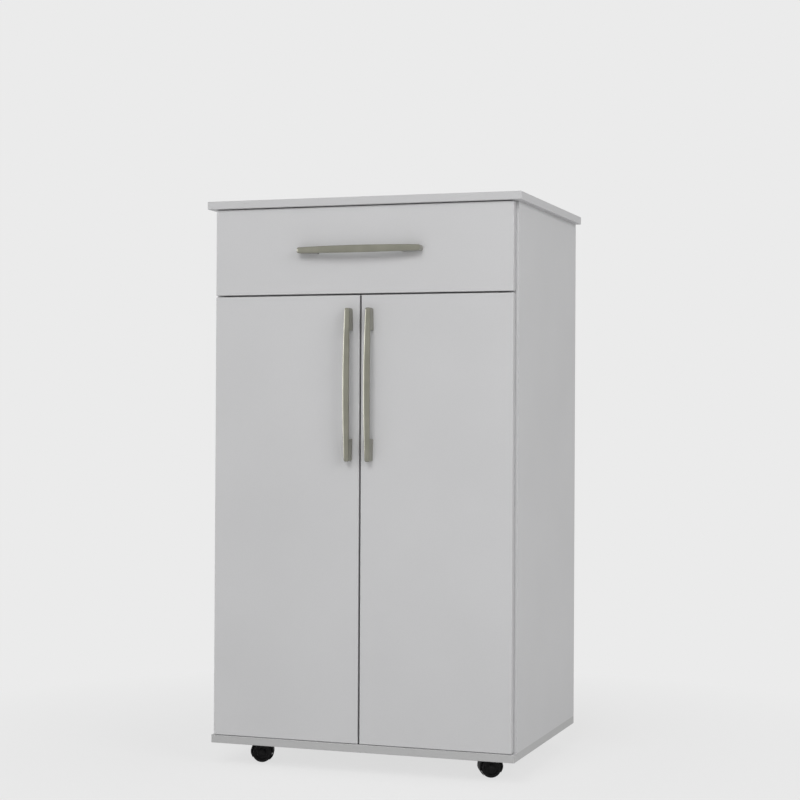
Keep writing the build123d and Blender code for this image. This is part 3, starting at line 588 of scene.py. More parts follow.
def loft(name: str, rings: list) -> Object:
    """Joins closed rings of points into a shell with flat ends.

    Args:
        name: the object's name.
        rings: the rings, each with the same number of points.

    Returns:
        The object, its faces pointing outwards.
    """
    shape = bmesh.new()
    rows = [[shape.verts.new(point) for point in ring] for ring in rings]
    for row, following in zip(rows, rows[1:]):
        for i, j in zip(range(len(row)), [*range(1, len(row)), 0]):
            shape.faces.new((row[i], row[j], following[j], following[i]))
    shape.faces.new(rows[0])
    shape.faces.new(rows[-1])
    bmesh.ops.recalc_face_normals(shape, faces=shape.faces)
    mesh = bpy.data.meshes.new(name)
    shape.to_mesh(mesh)
    shape.free()
    return add_object(name, mesh)


@dataclass
class Solid:
    """One closed solid of a node: its box, where its head sits and which way it points."""

    low: Vector
    high: Vector
    seat: Vector
    aim: Vector

    @property
    def size(self) -> Vector:
        """How large its box is along each axis."""
        return self.high - self.low


def solids_of(node: str, rim_share: float = 0.93) -> list[Solid]:
    """Finds the separate solids of a node, and which way each one points.

    A fastener points from its head, which is wider than its shank, to its tip.

    Args:
        node: the node, such as a group of screws.
        rim_share: points further from the axis than this share of the widest are the head's rim.

    Returns:
        The solids, in the order of their lowest corners.
    """
    shape = bmesh.new()
    shape.from_mesh(frame["nodes"][node].data)
    bmesh.ops.remove_doubles(shape, verts=shape.verts, dist=WELD)
    left = set(shape.verts)
    found = []
    while left:
        stack = [left.pop()]
        points = []
        while stack:
            vert = stack.pop()
            points.append(vert.co.copy())
            for edge in vert.link_edges:
                other = edge.other_vert(vert)
                if other in left:
                    left.remove(other)
                    stack.append(other)
        low = Vector([min(p[i] for p in points) for i in range(3)])
        high = Vector([max(p[i] for p in points) for i in range(3)])
        middle = (low + high) / 2
        axis = max(range(3), key=lambda i: (high - low)[i])
        across = [i for i in range(3) if i != axis]
        off_axis = [math.dist([p[i] for i in across], [middle[i] for i in across]) for p in points]
        widest = max(off_axis)
        rim = [p[axis] for p, off in zip(points, off_axis) if off > rim_share * widest]
        head = sum(rim) / len(rim) - middle[axis]
        aim = Vector((0.0, 0.0, 0.0))
        aim[axis] = -1.0 if head > 0 else 1.0
        seat = middle.copy()
        seat[axis] = max(rim) if head < 0 else min(rim)
        found.append(Solid(low, high, seat, aim))
    shape.free()
    # The search starts from a set, which has no order of its own.
    return sorted(found, key=lambda solid: tuple(solid.low))


def start_tree(name: str, sizes: dict, parts: dict) -> tuple[Tree, dict[str, Socket | Node]]:
    """Starts a geometry tree with a geometry input, a material and named sizes.

    Args:
        name: the tree's name.
        sizes: each size's name and usual value, in metres.
        parts: further sizes that follow from these, each as a size's name and a factor.

    Returns:
        The tree, and its inputs and the further sizes by name.
    """
    tree = bpy.data.node_groups.new(name, "GeometryNodeTree")
    tree.interface.new_socket(name="Points", in_out="INPUT", socket_type="NodeSocketGeometry")
    tree.interface.new_socket(name="Finish", in_out="INPUT", socket_type="NodeSocketMaterial")
    for size, value in sizes.items():
        socket = tree.interface.new_socket(name=size, in_out="INPUT", socket_type="NodeSocketFloat")
        socket.default_value = value
    tree.interface.new_socket(name="Shape", in_out="OUTPUT", socket_type="NodeSocketGeometry")
    given = {socket.name: socket for socket in add_node(tree, "NodeGroupInput", {}).outputs}
    for part, (size, factor) in parts.items():
        given[part] = add_node(
            tree, "ShaderNodeMath", {0: given[size], 1: factor}, operation="MULTIPLY"
        )
    return tree, given


def finish_tree(tree: Tree, given: dict, shape: Node) -> None:
    """Puts a shape on every point, turned to its aim, and ends the tree.

    Args:
        tree: the geometry tree.
        given: the tree's inputs.
        shape: the shape's node. Its tip lies along -Z.
    """
    aim = add_node(
        tree, "GeometryNodeInputNamedAttribute", {"Name": "aim"}, data_type="FLOAT_VECTOR"
    ).outputs["Attribute"]
    away = add_node(tree, "ShaderNodeVectorMath", {0: aim, "Scale": -1.0}, operation="SCALE")
    turn = add_node(tree, "FunctionNodeAlignRotationToVector", {"Vector": away}, axis="Z")
    placed = add_node(
        tree,
        "GeometryNodeInstanceOnPoints",
        {"Points": given["Points"], "Instance": shape, "Rotation": turn},
    )
    real = add_node(tree, "GeometryNodeRealizeInstances", {"Geometry": placed})
    finish = {"Geometry": real, "Material": given["Finish"]}
    add_node(tree, "NodeGroupOutput", {"Shape": add_node(tree, "GeometryNodeSetMaterial", finish)})


def moved_by(tree: Tree, shape: Node, height: Socket | Node | float) -> Node:
    """Moves a shape along Z.

    Args:
        tree: the geometry tree.
        shape: the shape's node.
        height: how far it goes up.

    Returns:
        The node of the moved shape.
    """
    up = add_node(tree, "ShaderNodeCombineXYZ", {2: height})
    return add_node(tree, "GeometryNodeTransform", {"Geometry": shape, "Translation": up})


def cross_arms(tree: Tree, given: dict, height: Socket | float) -> list[Node]:
    """Draws the cross of a screwdriver's bit.

    Args:
        tree: the geometry tree.
        given: the tree's sizes, with a cross length, width and depth among them.
        height: the height of the cross's middle.

    Returns:
        The nodes of its two arms.
    """
    length, width = given["cross length"], given["cross width"]
    arms = []
    for x, y in ((length, width), (width, length)):
        size = add_node(tree, "ShaderNodeCombineXYZ", {0: x, 1: y, 2: given["cross depth"]})
        arm = add_node(tree, "GeometryNodeMeshCube", {"Size": size})
        arms.append(moved_by(tree, arm, height))
    return arms


def dome(tree: Tree, radius: Socket, height: Socket, segments: int, rings: int) -> Node:
    """Draws a low dome that stands on the plane Z = 0.

    Args:
        tree: the geometry tree.
        radius: the dome's radius.
        height: its height.
        segments: how many faces go round it.
        rings: how many rows of faces the whole ball has.

    Returns:
        The dome's node.
    """
    size = {"Segments": segments, "Rings": rings, "Radius": radius}
    ball = add_node(tree, "GeometryNodeMeshUVSphere", size)
    squash = add_node(tree, "ShaderNodeMath", {0: height, 1: radius}, operation="DIVIDE")
    scale = add_node(tree, "ShaderNodeCombineXYZ", {0: 1.0, 1: 1.0, 2: squash})
    low_ball = add_node(tree, "GeometryNodeTransform", {"Geometry": ball, "Scale": scale})
    # Every point is lifted to Z = 0 at least. The other two limits are a metre away.
    place = add_node(tree, "GeometryNodeInputPosition", {})
    raised = add_node(
        tree, "ShaderNodeVectorMath", {0: place, 1: (-1.0, -1.0, 0.0)}, operation="MAXIMUM"
    )
    half = add_node(tree, "GeometryNodeSetPosition", {"Geometry": low_ball, "Position": raised})
    return add_node(
        tree, "GeometryNodeMergeByDistance", {"Geometry": half, "Distance": 0.001 * MM}
    )


def screw_tree() -> Tree:
    """A pan-head wood screw: a domed head with a cross, a shank and a rolled thread.

    Returns:
        The geometry tree.
    """
    tree, given = start_tree(
        "pan_head_screw",
        {
            "Head Radius": 3.5 * MM,
            "Head Height": 1.6 * MM,
            "Shank Radius": 2.0 * MM,
            "Length": 12.0 * MM,
        },
        {
            "cross length": ("Head Radius", 1.05),
            "cross width": ("Head Radius", 0.24),
            "cross depth": ("Head Height", 1.3),
            "core radius": ("Shank Radius", 0.78),
            "core middle": ("Length", -0.5),
            "thread radius": ("Shank Radius", 0.76),
            "thread height": ("Length", 0.84),
            "thread start": ("Length", -0.96),
            "thread ridge": ("Shank Radius", 0.2),
        },
    )
    top = given["Head Height"]
    head = dome(tree, given["Head Radius"], top, segments=24, rings=12)
    head = add_node(
        tree, "GeometryNodeMeshBoolean", {"Mesh 1": head, "Mesh 2": cross_arms(tree, given, top)},
        operation="DIFFERENCE", solver="EXACT",
    )
    core = add_node(
        tree,
        "GeometryNodeMeshCylinder",
        {"Vertices": 16, "Radius": given["core radius"], "Depth": given["Length"]},
    )
    spiral = add_node(
        tree,
        "GeometryNodeCurveSpiral",
        {
            "Resolution": 12,
            "Rotations": 6.0,
            "Start Radius": given["thread radius"],
            "End Radius": given["thread radius"],
            "Height": given["thread height"],
        },
    )
    ridge = add_node(
        tree, "GeometryNodeCurvePrimitiveCircle", {"Resolution": 4, "Radius": given["thread ridge"]}
    )
    thread = add_node(
        tree,
        "GeometryNodeCurveToMesh",
        {"Curve": spiral, "Profile Curve": ridge, "Fill Caps": True},
    )
    core = moved_by(tree, core, given["core middle"])
    thread = moved_by(tree, thread, given["thread start"])
    whole = add_node(tree, "GeometryNodeJoinGeometry", {0: [head, core, thread]})
    finish_tree(tree, given, whole)
    return tree


def cam_hollow_tree() -> Tree:
    """The hollow in a cam drum's face: a shallow dish and a cross for the screwdriver.

    Returns:
        The geometry tree.
    """
    tree, given = start_tree(
        "cam_hollow",
        {"Radius": 7.5 * MM, "Dish": 0.6 * MM, "Key": 3.0 * MM},
        {
            "dish radius": ("Radius", 0.84),
            "dish height": ("Dish", 2.0),
            "cross length": ("Radius", 1.15),
            "cross width": ("Radius", 0.2),
            "cross depth": ("Key", 2.0),
        },
    )
    dish = add_node(
        tree,
        "GeometryNodeMeshCylinder",
        {"Vertices": 40, "Radius": given["dish radius"], "Depth": given["dish height"]},
    )
    whole = add_node(
        tree, "GeometryNodeMeshBoolean", {"Mesh 2": [dish, *cross_arms(tree, given, 0.0)]},
        operation="UNION", solver="EXACT",
    )
    finish_tree(tree, given, whole)
    return tree


def dome_tree() -> Tree:
    """A low dome on a flat base, for a stick-on buffer or the head of a tack.

    Returns:
        The geometry tree.
    """
    tree, given = start_tree("buffer_dome", {"Radius": 3.5 * MM, "Height": 2.9 * MM}, {})
    finish_tree(tree, given, dome(tree, given["Radius"], given["Height"], segments=28, rings=16))
    return tree


@dataclass(frozen=True)
class ScrewSize:
    """One size of screw, in metres."""

    head_radius: float
    head_height: float
    shank_radius: float
    length: float


@dataclass
class Hardware:
    """The fasteners and small trim, drawn by geometry trees that are built once."""

    screws: Tree = field(default_factory=screw_tree)
    cam_hollows: Tree = field(default_factory=cam_hollow_tree)
    domes: Tree = field(default_factory=dome_tree)
    shank_share: float = 0.56
    crease: float = 35.0

    def draw(self, tree: Tree, name: str, places: list, aims: list, values: dict) -> Object:
        """Puts a tree's shape at each place and keeps the result as a plain mesh.

        Args:
            tree: the geometry tree.
            name: the object's name.
            places: where the shapes go.
            aims: which way each one points.
            values: a value for each named input.

        Returns:
            The object, at the origin, with no modifier.
        """
        mesh = bpy.data.meshes.new(name)
        mesh.from_pydata(places, [], [])
        directions = mesh.attributes.new("aim", "FLOAT_VECTOR", "POINT")
        for item, aim in zip(directions.data, aims):
            item.vector = aim
        points = add_object(name, mesh)
        modifier = points.modifiers.new("shape", "NODES")
        modifier.node_group = tree
        for item in tree.interface.items_tree:
            if item.name in values:
                modifier[item.identifier] = values[item.name]
        return keep_result(points, self.crease)

    def screw_set(
        self, name: str, body: str, seats: list, aims: list, size: ScrewSize, slot: str,
        nodes: tuple = (),
    ) -> None:
        """Draws one size of screw at each seat.

        Args:
            name: the piece's name.
            body: the body it rides on.
            seats: where the heads' undersides sit.
            aims: which way the shanks point.
            size: the screws' size.
            slot: the record's material slot; not used.
            nodes: the nodes it replaces.
        """
        values = {
            "Finish": ZINC_PLATE.material(),
            "Head Radius": size.head_radius,
            "Head Height": size.head_height,
            "Shank Radius": size.shank_radius,
            "Length": size.length,
        }
        piece = self.draw(self.screws, name, seats, aims, values)
        place_piece(piece, body, nodes, values["Finish"])

    def replace_screws(self, node: str, head_height: float) -> None:
        """Puts detailed screws in place of a node that is a group of plain ones.

        Args:
            node: the node of plain screws.
            head_height: the height of their heads in metres.
        """
        plain = solids_of(node)
        across, _, along = sorted(plain[0].size)
        radius = across / 2
        size = ScrewSize(radius, head_height, self.shank_share * radius, along - head_height)
        self.screw_set(
            f"{node}_cross_head", body_of(node), [s.seat for s in plain], [s.aim for s in plain],
            size, slot_of(node), (node,),
        )

    def domes_at(
        self, name: str, body: str, places: list, slot: str, radius: float, height: float,
        finish: Finish, aim: Triple = FORWARD,
    ) -> None:
        """Puts low domes on a board, such as clear buffers or the heads of tacks.

        Args:
            name: the piece's name.
            body: the body they ride on.
            places: where they sit.
            slot: the record's material slot; not used.
            radius: their radius in metres.
            height: how far they stand out.
            finish: their finish.
            aim: the direction from the dome into the board.
        """
        values = {"Finish": finish.material(), "Radius": radius, "Height": height}
        piece = self.draw(self.domes, name, places, [aim] * len(places), values)
        place_piece(piece, body, (), values["Finish"])

    def key_cams(self, node: str) -> None:
        """Cuts a dish and a cross into the face of every cam drum of a group.

        A drum is round and a little shorter than it is wide. Its face looks to the middle of the
        cabinet, or down where it stands in a level board.

        Args:
            node: the node of cams and bolts.
        """
        faces, aims = [], []
        radius = 0.0
        for solid in solids_of(node):
            axis = min(range(3), key=lambda i: solid.size[i])
            height = solid.size[axis]
            width, depth = (solid.size[i] for i in range(3) if i != axis)
            if abs(width - depth) > 0.3 * MM or not 0.4 * width <= height <= 0.95 * width:
                continue
            face = (solid.low + solid.high) / 2
            aim = Vector((0.0, 0.0, 0.0))
            inward = axis == 0 and face.x < 0
            face[axis] = solid.high[axis] if inward else solid.low[axis]
            aim[axis] = -1.0 if inward else 1.0
            faces.append(face)
            aims.append(aim)
            radius = width / 2
        values = {"Finish": ZINC_PLATE.material(), "Radius": radius}
        hollows = self.draw(self.cam_hollows, "hollows", faces, aims, values)
        piece = add_object(f"{node}_keyed", merged_mesh(node))
        stand_in(cut_or_join(piece, hollows, "DIFFERENCE"), node, ZINC_PLATE.material())


@dataclass
class BowHandle:
    """A cast bow handle with a crowned face, drawn finer than the plain one it stands for.

    It lies along X, its feet on the plane Z = 0 and its bow towards +Z, before it is placed.
    """

    node: str
    upright: bool
    pitch: float
    length: float
    width: float
    end_width: float
    reach: float = 26.0 * MM
    end_reach: float = 20.0 * MM
    thickness: float = 5.5 * MM
    foot: float = 42.0 * MM
    crown: float = 2.8 * MM
    crown_power: float = 2.3
    crown_steps: int = 18
    edge: float = 0.7 * MM
    end_round: float = 3.2 * MM
    end_drop: float = 0.7
    inner_round: float = 3.0 * MM
    inner_gap: float = 0.05 * MM
    bow_steps: int = 14
    bore: float = 2.1 * MM
    bore_depth: float = 10.0 * MM

    def section(self, x: float, bottom: float, end: float) -> list:
        """One ring of the bow.

        Args:
            x: how far along the handle it lies.
            bottom: the height of its underside.
            end: how far into the rounded end it lies, from nought to one.

        Returns:
            Its points, from one side over the crown to the other and back underneath.
        """
        along = (x / (self.length / 2)) ** 2
        shrink = self.end_round * (1.0 - math.sqrt(max(0.0, 1.0 - end * end)))
        half = (self.width - (self.width - self.end_width) * along) / 2 - shrink
        top = self.reach - (self.reach - self.end_reach) * along - self.end_drop * shrink
        points = []
        for i in range(self.crown_steps + 1):
            across = math.sin(math.pi * (i / self.crown_steps - 0.5))
            fall = 1.0 - (1.0 - abs(across) ** self.crown_power) ** (1 / self.crown_power)
            points.append((x, half * across, top - self.crown * fall))
        return points + [
            (x, half, bottom + self.edge),
            (x, half - self.edge, bottom),
            (x, self.edge - half, bottom),
            (x, -half, bottom + self.edge),
        ]

    def rings(self) -> list:
        """Lays out the rings from one end to the other, with feet, a bow and rounded ends.

        Returns:
            The rings.
        """
        half = self.length / 2
        inner = half - self.foot
        middle = self.reach - self.thickness
        under = middle - (self.reach - self.end_reach) * (inner / half) ** 2
        flat = half - self.end_round
        # Each row is a place along the handle, the underside's height there and the end's turn.
        rows = [(half - self.end_round * (1 - t), 0.0, t) for t in (1.0, 0.94, 0.8, 0.6, 0.35, 0.0)]
        rows += [(inner + (flat - inner) * t, 0.0, 0.0) for t in (0.75, 0.5, 0.25)]
        rows += [(inner + self.inner_gap, 0.0, 0.0), (inner, under - self.inner_round, 0.0)]
        for angle in (math.radians(turn) for turn in (30, 60, 90)):
            x = inner - self.inner_round * (1 - math.cos(angle))
            rows.append((x, under - self.inner_round * (1 - math.sin(angle)), 0.0))
        start = inner - self.inner_round
        for i in range(1, self.bow_steps + 1):
            t = 1 - i / self.bow_steps
            rows.append((start * t, middle - (middle - under) * t * t, 0.0))
        mirrored = [(-x, bottom, end) for x, bottom, end in reversed(rows[:-1])]
        return [self.section(*row) for row in rows + mirrored]

    def build(self) -> None:
        """Makes the handle, bores it for its screws and puts it in the plain one's place."""
        piece = loft(f"{self.node}_bow", self.rings())
        for x in (-self.pitch / 2, self.pitch / 2):
            drill = bmesh.new()
            bmesh.ops.create_cone(
                drill, cap_ends=True, segments=24, radius1=self.bore, radius2=self.bore,
                depth=2 * self.bore_depth, matrix=Matrix.Translation((x, 0.0, 0.0)),
            )
            mesh = bpy.data.meshes.new("drill")
            drill.to_mesh(mesh)
            drill.free()
            piece = cut_or_join(piece, add_object("drill", mesh), "DIFFERENCE")
        low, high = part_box(self.node)
        middle = (low + high) / 2
        along = Vector((0, 0, 1)) if self.upright else Vector((1, 0, 0))
        out = Vector(FORWARD)
        place = Matrix((along, out.cross(along), out)).transposed().to_4x4()
        place.translation = (middle.x, high.y, middle.z)
        piece.data.transform(place)
        stand_in(piece, self.node, HANDLE_LACQUER.material())


@dataclass
class Carcass:
    """The boxes of board that stand still, with the back panel, shelf and fixed hardware."""

    hardware: Hardware
    # Paler bands on the sides are painted light on their front edges, which the doors shade; the base
    # board's band is darker.
    boards: tuple = (
        ("top_board", Flat.Z, FacedBoard.band),
        ("base_board", Flat.Z, "#AFAFAF"),
        # painted light: a paler band that brightens the sides' front edges where the doors shade them
        ("side_panel_left", Flat.X, "#C8C8C9"),
        ("side_panel_right", Flat.X, "#C8C8C9"),
        ("divider_board", Flat.Z, FacedBoard.band),
        ("shelf", Flat.Z, FacedBoard.band),
    )
    head_heights: tuple = (
        ("hinge_plate_screws", 1.6 * MM),
        ("runner_screws", 1.6 * MM),
        ("caster_screws", 1.3 * MM),
    )
    lacquer_depth: float = 0.4 * MM
    arm_sheet: float = 1.6 * MM
    fixing_from_end: float = 9.0 * MM
    adjusting_from_end: float = 34.0 * MM
    arm_screw: ScrewSize = ScrewSize(3.1 * MM, 1.5 * MM, 1.9 * MM, 3.0 * MM)
    tack_spacing: float = 112.0 * MM
    tack_radius: float = 2.4 * MM
    tack_height: float = 0.8 * MM

    def adjusting_screws(self) -> None:
        """Adds the two screws on each hinge arm: one holds it, the other shifts the door."""
        seats, aims = [], []
        for side in Side:
            for height in ("lower", "upper"):
                low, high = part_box(f"hinge_arm_{height}_{side.word}")
                face = side.inner_x(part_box(f"hinge_plate_{height}_{side.word}"))
                for back in (self.fixing_from_end, self.adjusting_from_end):
                    x = face - side.value * self.arm_sheet
                    seats.append((x, high.y - back, (low.z + high.z) / 2))
                    aims.append((side.value, 0, 0))
        self.hardware.screw_set(
            "hinge_adjusting_screws", "carcass", seats, aims, self.arm_screw, "fastener_steel"
        )

    def tacks(self) -> None:
        """Adds the tacks that hold the back panel to the divider's rear edge."""
        low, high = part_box("divider_board")
        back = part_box("back_panel")[1].y
        places = [(i * self.tack_spacing, back, (low.z + high.z) / 2) for i in (-2, -1, 0, 1, 2)]
        self.hardware.domes_at(
            "back_panel_tacks", "carcass", places, "fastener_steel",
            self.tack_radius, self.tack_height, ZINC_PLATE,
        )

    def build(self) -> None:
        """Dresses the boards, the back panel and the fixed hardware."""
        for node, flat, band in self.boards:
            dress_node(node, FacedBoard(node, flat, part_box(node), band).material())
        raw_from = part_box("back_panel")[1].y - self.lacquer_depth
        dress_node("back_panel", Hardboard("back_panel", Flat.Y, raw_from, True).material())
        smooth_copy("shelf_pins", ZINC_PLATE.material())
        for node, head_height in self.head_heights:
            self.hardware.replace_screws(node, head_height)
        self.hardware.key_cams("cam_fittings")
        self.adjusting_screws()
        self.tacks()
        for side in Side:
            smooth_copy(f"runner_rail_{side.word}", POWDER_COAT.material())
            for part in ("plate_lower", "arm_lower", "plate_upper", "arm_upper"):
                smooth_copy(f"hinge_{part}_{side.word}", PLATED_HINGE_STEEL.material())


@dataclass
class Door:
    """One door with its handle, its screws and its hinge cups."""

    side: Side
    hardware: Hardware
    handle_head_height: float = 2.4 * MM
    cup_screw_from_end: float = 6.5 * MM
    cup_screw_from_inside: float = 9.0 * MM
    cup_screw: ScrewSize = ScrewSize(3.2 * MM, 1.3 * MM, 1.7 * MM, 11.0 * MM)
    buffer_from_gap: float = 14.0 * MM
    buffer_from_top: float = 3.6 * MM
    buffer_radius: float = 3.0 * MM
    buffer_height: float = 2.9 * MM

    def build(self) -> None:
        """Dresses the door's pieces and adds the cup screws and the buffer."""
        word = self.side.word
        leaf = f"door_{word}"
        body = body_of(leaf)
        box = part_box(leaf)
        dress_node(leaf, FacedBoard(leaf, Flat.Y, box).material())
        BowHandle(
            f"door_handle_{word}", upright=True, pitch=256.0 * MM, length=285.0 * MM,
            width=12.6 * MM, end_width=9.8 * MM,
        ).build()
        self.hardware.replace_screws(f"door_handle_screws_{word}", self.handle_head_height)
        seats = []
        for height in ("lower", "upper"):
            cup = f"hinge_cup_{height}_{word}"
            smooth_copy(cup, PLATED_HINGE_STEEL.material())
            low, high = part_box(cup)
            x = self.side.inner_x((low, high)) + self.side.value * self.cup_screw_from_inside
            for z in (low.z + self.cup_screw_from_end, high.z - self.cup_screw_from_end):
                seats.append((x, high.y, z))
        self.hardware.screw_set(
            f"hinge_cup_screws_{word}", body, seats, [FORWARD] * len(seats), self.cup_screw,
            "fastener_steel",
        )
        x = self.side.inner_x(box) + self.side.value * self.buffer_from_gap
        place = (x, box[1].y, box[1].z - self.buffer_from_top)
        self.hardware.domes_at(
            f"door_buffer_{word}", body, [place], "roller_plastic",
            self.buffer_radius, self.buffer_height, CLEAR_BUFFER,
        )


@dataclass
class Drawer:
    """The drawer with its front, box, rails and handle."""

    hardware: Hardware
    boards: tuple = (
        ("drawer_front", Flat.Y),
        ("drawer_side_left", Flat.X),
        ("drawer_side_right", Flat.X),
        ("drawer_back", Flat.Y),
    )
    lacquer_depth: float = 0.4 * MM
    handle_head_height: float = 2.4 * MM
    buffer_from_side: float = 5.0 * MM
    buffer_from_bottom: float = 16.0 * MM
    buffer_from_top: float = 14.0 * MM
    buffer_radius: float = 3.5 * MM
    buffer_height: float = 2.9 * MM

    def build(self) -> None:
        """Dresses the drawer's pieces and adds its buffers."""
        for node, flat in self.boards:
            dress_node(node, FacedBoard(node, flat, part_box(node)).material())
        raw_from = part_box("drawer_bottom")[0].z + self.lacquer_depth
        dress_node("drawer_bottom", Hardboard("drawer_bottom", Flat.Z, raw_from, False).material())
        BowHandle(
            "drawer_handle", upright=False, pitch=224.0 * MM, length=243.0 * MM,
            width=14.0 * MM, end_width=10.8 * MM, foot=38.0 * MM,
        ).build()
        self.hardware.replace_screws("drawer_handle_screws", self.handle_head_height)
        self.hardware.key_cams("drawer_fittings")
        for side in Side:
            smooth_copy(f"drawer_rail_{side.word}", POWDER_COAT.material())
        for end in ("front", "rear"):
            smooth_copy(f"runner_rollers_{end}", WHITE_NYLON.material())
        low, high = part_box("drawer_front")
        places = [
            (x, high.y, z)
            for x in (low.x + self.buffer_from_side, high.x - self.buffer_from_side)
            for z in (low.z + self.buffer_from_bottom, high.z - self.buffer_from_top)
        ]
        self.hardware.domes_at(
            "drawer_buffers", "drawer", places, "roller_plastic",
            self.buffer_radius, self.buffer_height, CLEAR_BUFFER,
        )


@dataclass
class Caster:
    """One twin-wheel caster, whose hood runs on into thin lips that hug the wheels."""

    corner: Corner
    hood_radius: float = 22.4 * MM
    hood_thickness: float = 2.2 * MM
    lip_radius: float = 20.3 * MM
    lip_thickness: float = 0.8 * MM
    lip_sweep: float = 38.0
    lip_steps: int = 10
    lip_overlap: float = 1.5
    lip_inset: float = 0.01 * MM
    lip_curve: float = 0.8
    ends: tuple = ((10.0, -1), (188.0, 1))

    def lip(self, start: float, sign: int, half_width: float) -> list:
        """The rings of the thin lip that carries on from an end of the hood, about the axle.

        Args:
            start: the angle of the hood's end in degrees, from the trailing side.
            sign: which way the lip runs on.
            half_width: half the hood's width.

        Returns:
            The rings, in the caster's own frame, X along its roll and the axle at the origin.
        """
        rings = []
        half = half_width - self.lip_inset
        for i in range(self.lip_steps + 1):
            t = i / self.lip_steps
            angle = math.radians(start + sign * (self.lip_sweep * t - self.lip_overlap))
            ease = t * t * (3 - 2 * t)
            outer = self.hood_radius + (self.lip_radius - self.hood_radius) * ease - self.lip_inset
            thick = self.hood_thickness + (self.lip_thickness - self.hood_thickness) * ease
            curve = self.lip_curve * thick
            profile = [(outer - thick + 2 * self.lip_inset, half)]
            for bend in (math.radians(turn) for turn in (0, 30, 60, 90)):
                radius = outer - curve * (1 - math.sin(bend))
                profile.append((radius, half - curve * (1 - math.cos(bend))))
            profile += [(radius, -y) for radius, y in reversed(profile)]
            rings.append([(r * math.cos(angle), y, r * math.sin(angle)) for r, y in profile])
        return rings

    def hood(self) -> None:
        """Joins a lip to each end of the hood."""
        node = f"caster_housing_{self.corner.value}"
        axle_low, axle_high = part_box(f"caster_axle_{self.corner.value}")
        plate_low, plate_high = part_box(f"caster_plate_{self.corner.value}")
        axle = (axle_low + axle_high) / 2
        swivel = (plate_low + plate_high) / 2
        turn = math.atan2(axle.y - swivel.y, axle.x - swivel.x)
        place = Matrix.Translation(axle) @ Matrix.Rotation(turn, 4, "Z")
        back = place.inverted()
        mesh = merged_mesh(node)
        half_width = max((back @ vert.co).y for vert in mesh.vertices)
        piece = add_object(f"{node}_hood", mesh)
        for start, sign in self.ends:
            lip = loft("lip", self.lip(start, sign, half_width))
            lip.data.transform(place)
            piece = cut_or_join(piece, lip, "UNION")
        stand_in(piece, node, BLACK_NYLON.material())

    def build(self) -> None:
        """Dresses the caster's pieces."""
        word = self.corner.value
        smooth_copy(f"caster_plate_{word}", ZINC_PLATE.material())
        self.hood()
        smooth_copy(f"caster_wheels_{word}", WORN_BLACK_NYLON.material())
        smooth_copy(f"caster_axle_{word}", ZINC_PLATE.material())


@dataclass(frozen=True)
class PhotoCamera:
    """The photograph's camera, found from the corners and edges of the cabinet."""

    place: Triple = (1.1662, -3.3820, 0.6769)
    yaw: float = 18.962
    pitch: float = 0.387
    roll: float = 0.30
    lens: float = 81.723
    sensor: float = 36.0

    def build(self) -> None:
        """Adds the camera and makes it the scene's own."""
        data = bpy.data.cameras.new("photo_camera")
        data.sensor_width = self.sensor
        data.lens = self.lens
        camera = add_object("photo_camera", data)
        camera.matrix_world = (
            Matrix.Translation(self.place)
            @ Matrix.Rotation(math.radians(self.yaw), 4, "Z")
            @ Matrix.Rotation(math.radians(90 + self.pitch), 4, "X")
            @ Matrix.Rotation(math.radians(self.roll), 4, "Z")
        )
        bpy.context.scene.camera = camera


@dataclass(frozen=True)
class SoftBox:
    """A large soft lamp aimed at the cabinet."""

    name: str
    place: Triple
    aim: Triple
    size: float
    power: float
    lights_boards: bool = True
    shows_in_metal: bool = False

    def build(self) -> None:
        """Adds the lamp."""
        data = bpy.data.lights.new(self.name, "AREA")
        data.shape = "SQUARE"
        data.size = self.size
        data.energy = self.power
        lamp = add_object(self.name, data)
        lamp.location = self.place
        lamp.visible_diffuse = self.lights_boards
        lamp.visible_glossy = self.shows_in_metal
        towards = Vector(self.aim) - Vector(self.place)
        lamp.rotation_euler = towards.to_track_quat("-Z", "Y").to_euler()


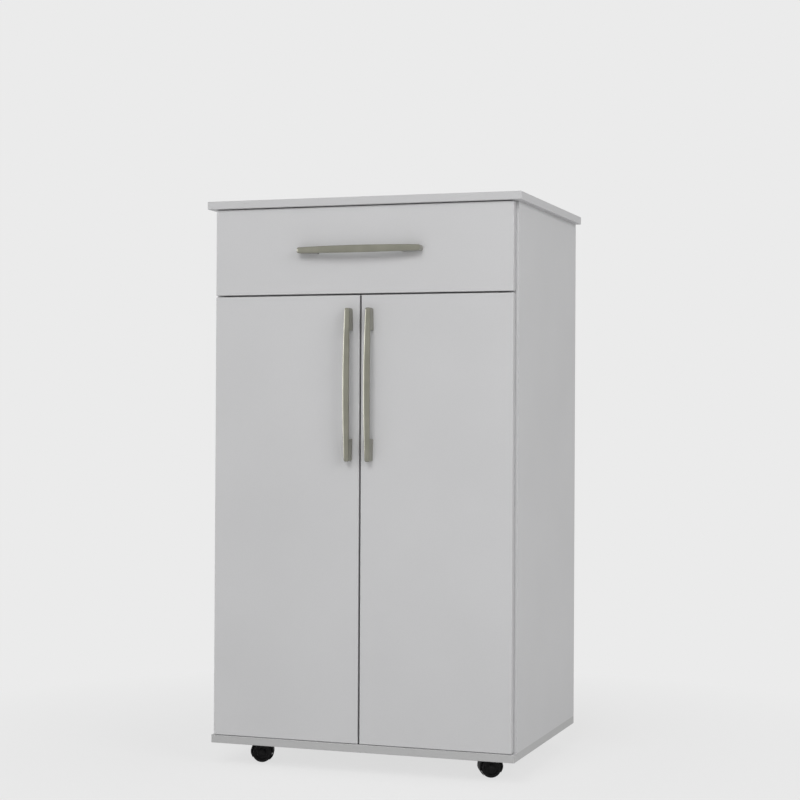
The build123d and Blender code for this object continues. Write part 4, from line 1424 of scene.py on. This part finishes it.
@dataclass(frozen=True)
class Studio:
    """Pale seamless surroundings and soft light from beside the camera.

    The floor shows the cabinet's shadow close to it, and fades into the backdrop further away.
    """

    backdrop: str = "#EBEBEB"
    paper: str = "#FAFAFA"
    paper_fibre: str = "#F8F8F8"
    fibre: float = 3.0 * MM
    paper_roughness: float = 0.9
    ambient: float = 0.45
    floor_share: float = 0.18
    fade_from: float = 0.5
    fade_to: float = 1.25
    floor_reach: float = 30.0
    lamps: tuple = (
        SoftBox("key_lamp", (0.2, -4.4, 3.5), (0.0, -0.2, 0.85), 2.2, 98.0),
        SoftBox("side_lamp", (4.0, -2.5, 2.4), (0.3, 0.0, 0.6), 2.4, 74.0),
        SoftBox("edge_lamp", (-4.0, -1.7, 1.2), (0.0, -0.2, 0.8), 2.2, 90.0, False, True),
    )

    def seen_rays(self, tree: Tree) -> Node:
        """Tells what is seen from what only gives light.

        Args:
            tree: the tree of the floor's or the world's nodes.

        Returns:
            A node that gives one for what the camera, a shiny surface or clear plastic sees.
        """
        rays = add_node(tree, "ShaderNodeLightPath", {}).outputs
        seen = rays["Is Camera Ray"]
        for kind in ("Is Glossy Ray", "Is Transmission Ray"):
            seen = add_node(tree, "ShaderNodeMath", {0: seen, 1: rays[kind]}, operation="MAXIMUM")
        return seen

    def floor(self) -> None:
        """Adds the floor of matt paper, without shine, its fibres too faint to show from afar."""
        mesh = bpy.data.meshes.new("studio_floor")
        signs = ((-1, -1), (1, -1), (1, 1), (-1, 1))
        corners = [(x * self.floor_reach, y * self.floor_reach, 0) for x, y in signs]
        mesh.from_pydata(corners, [], [(0, 1, 2, 3)])
        material, tree, shader, place = new_material("matt_seamless_paper")
        fibres = add_node(
            tree, "ShaderNodeTexNoise", {"Vector": place, "Scale": 1 / self.fibre, "Detail": 3.0}
        )
        fibres = add_node(tree, "ShaderNodeMapRange", {0: fibres, 1: NOISE_LOW, 2: NOISE_HIGH})
        paper = layered(tree, self.paper, (fibres, self.paper_fibre))
        set_inputs(shader, {"Base Color": paper, "Roughness": self.paper_roughness})
        set_inputs(shader, {"Specular IOR Level": 0.0})
        glow = add_node(
            tree, "ShaderNodeEmission", {"Color": linear(self.backdrop), "Strength": 1.0}
        )
        away = add_node(tree, "ShaderNodeVectorMath", {0: place}, operation="LENGTH")
        fade = {0: away, 1: self.fade_from, 2: self.fade_to, 3: 1.0 - self.floor_share, 4: 1.0}
        share = add_node(
            tree,
            "ShaderNodeMath",
            {0: self.seen_rays(tree), 1: add_node(tree, "ShaderNodeMapRange", fade)},
            operation="MULTIPLY",
        )
        mixed = add_node(tree, "ShaderNodeMixShader", {0: share, 1: shader, 2: glow})
        set_inputs(tree.nodes["Material Output"], {"Surface": mixed})
        mesh.materials.append(material)
        add_object("studio_floor", mesh)

    def world(self) -> None:
        """Sets the world: the backdrop for what is seen, softer light for the rest."""
        world = bpy.data.worlds.new("studio")
        bpy.context.scene.world = world
        world.use_nodes = True
        tree = world.node_tree
        strength = add_node(tree, "ShaderNodeMapRange", {0: self.seen_rays(tree), 3: self.ambient})
        look = {"Color": linear(self.backdrop), "Strength": strength}
        set_inputs(tree.nodes["Background"], look)

    def build(self) -> None:
        """Builds the floor, the world and the lamps."""
        self.floor()
        self.world()
        for lamp in self.lamps:
            lamp.build()


def main() -> None:
    """Builds the cabinet's pieces, the camera and the studio."""
    logging.basicConfig(level=logging.INFO, format="%(name)s: %(message)s")
    bpy.context.scene.view_settings.view_transform = "Standard"
    hardware = Hardware()
    Carcass(hardware).build()
    for side in Side:
        Door(side, hardware).build()
    Drawer(hardware).build()
    for corner in Corner:
        Caster(corner).build()
    PhotoCamera().build()
    Studio().build()


if __name__ == "__main__":
    main()
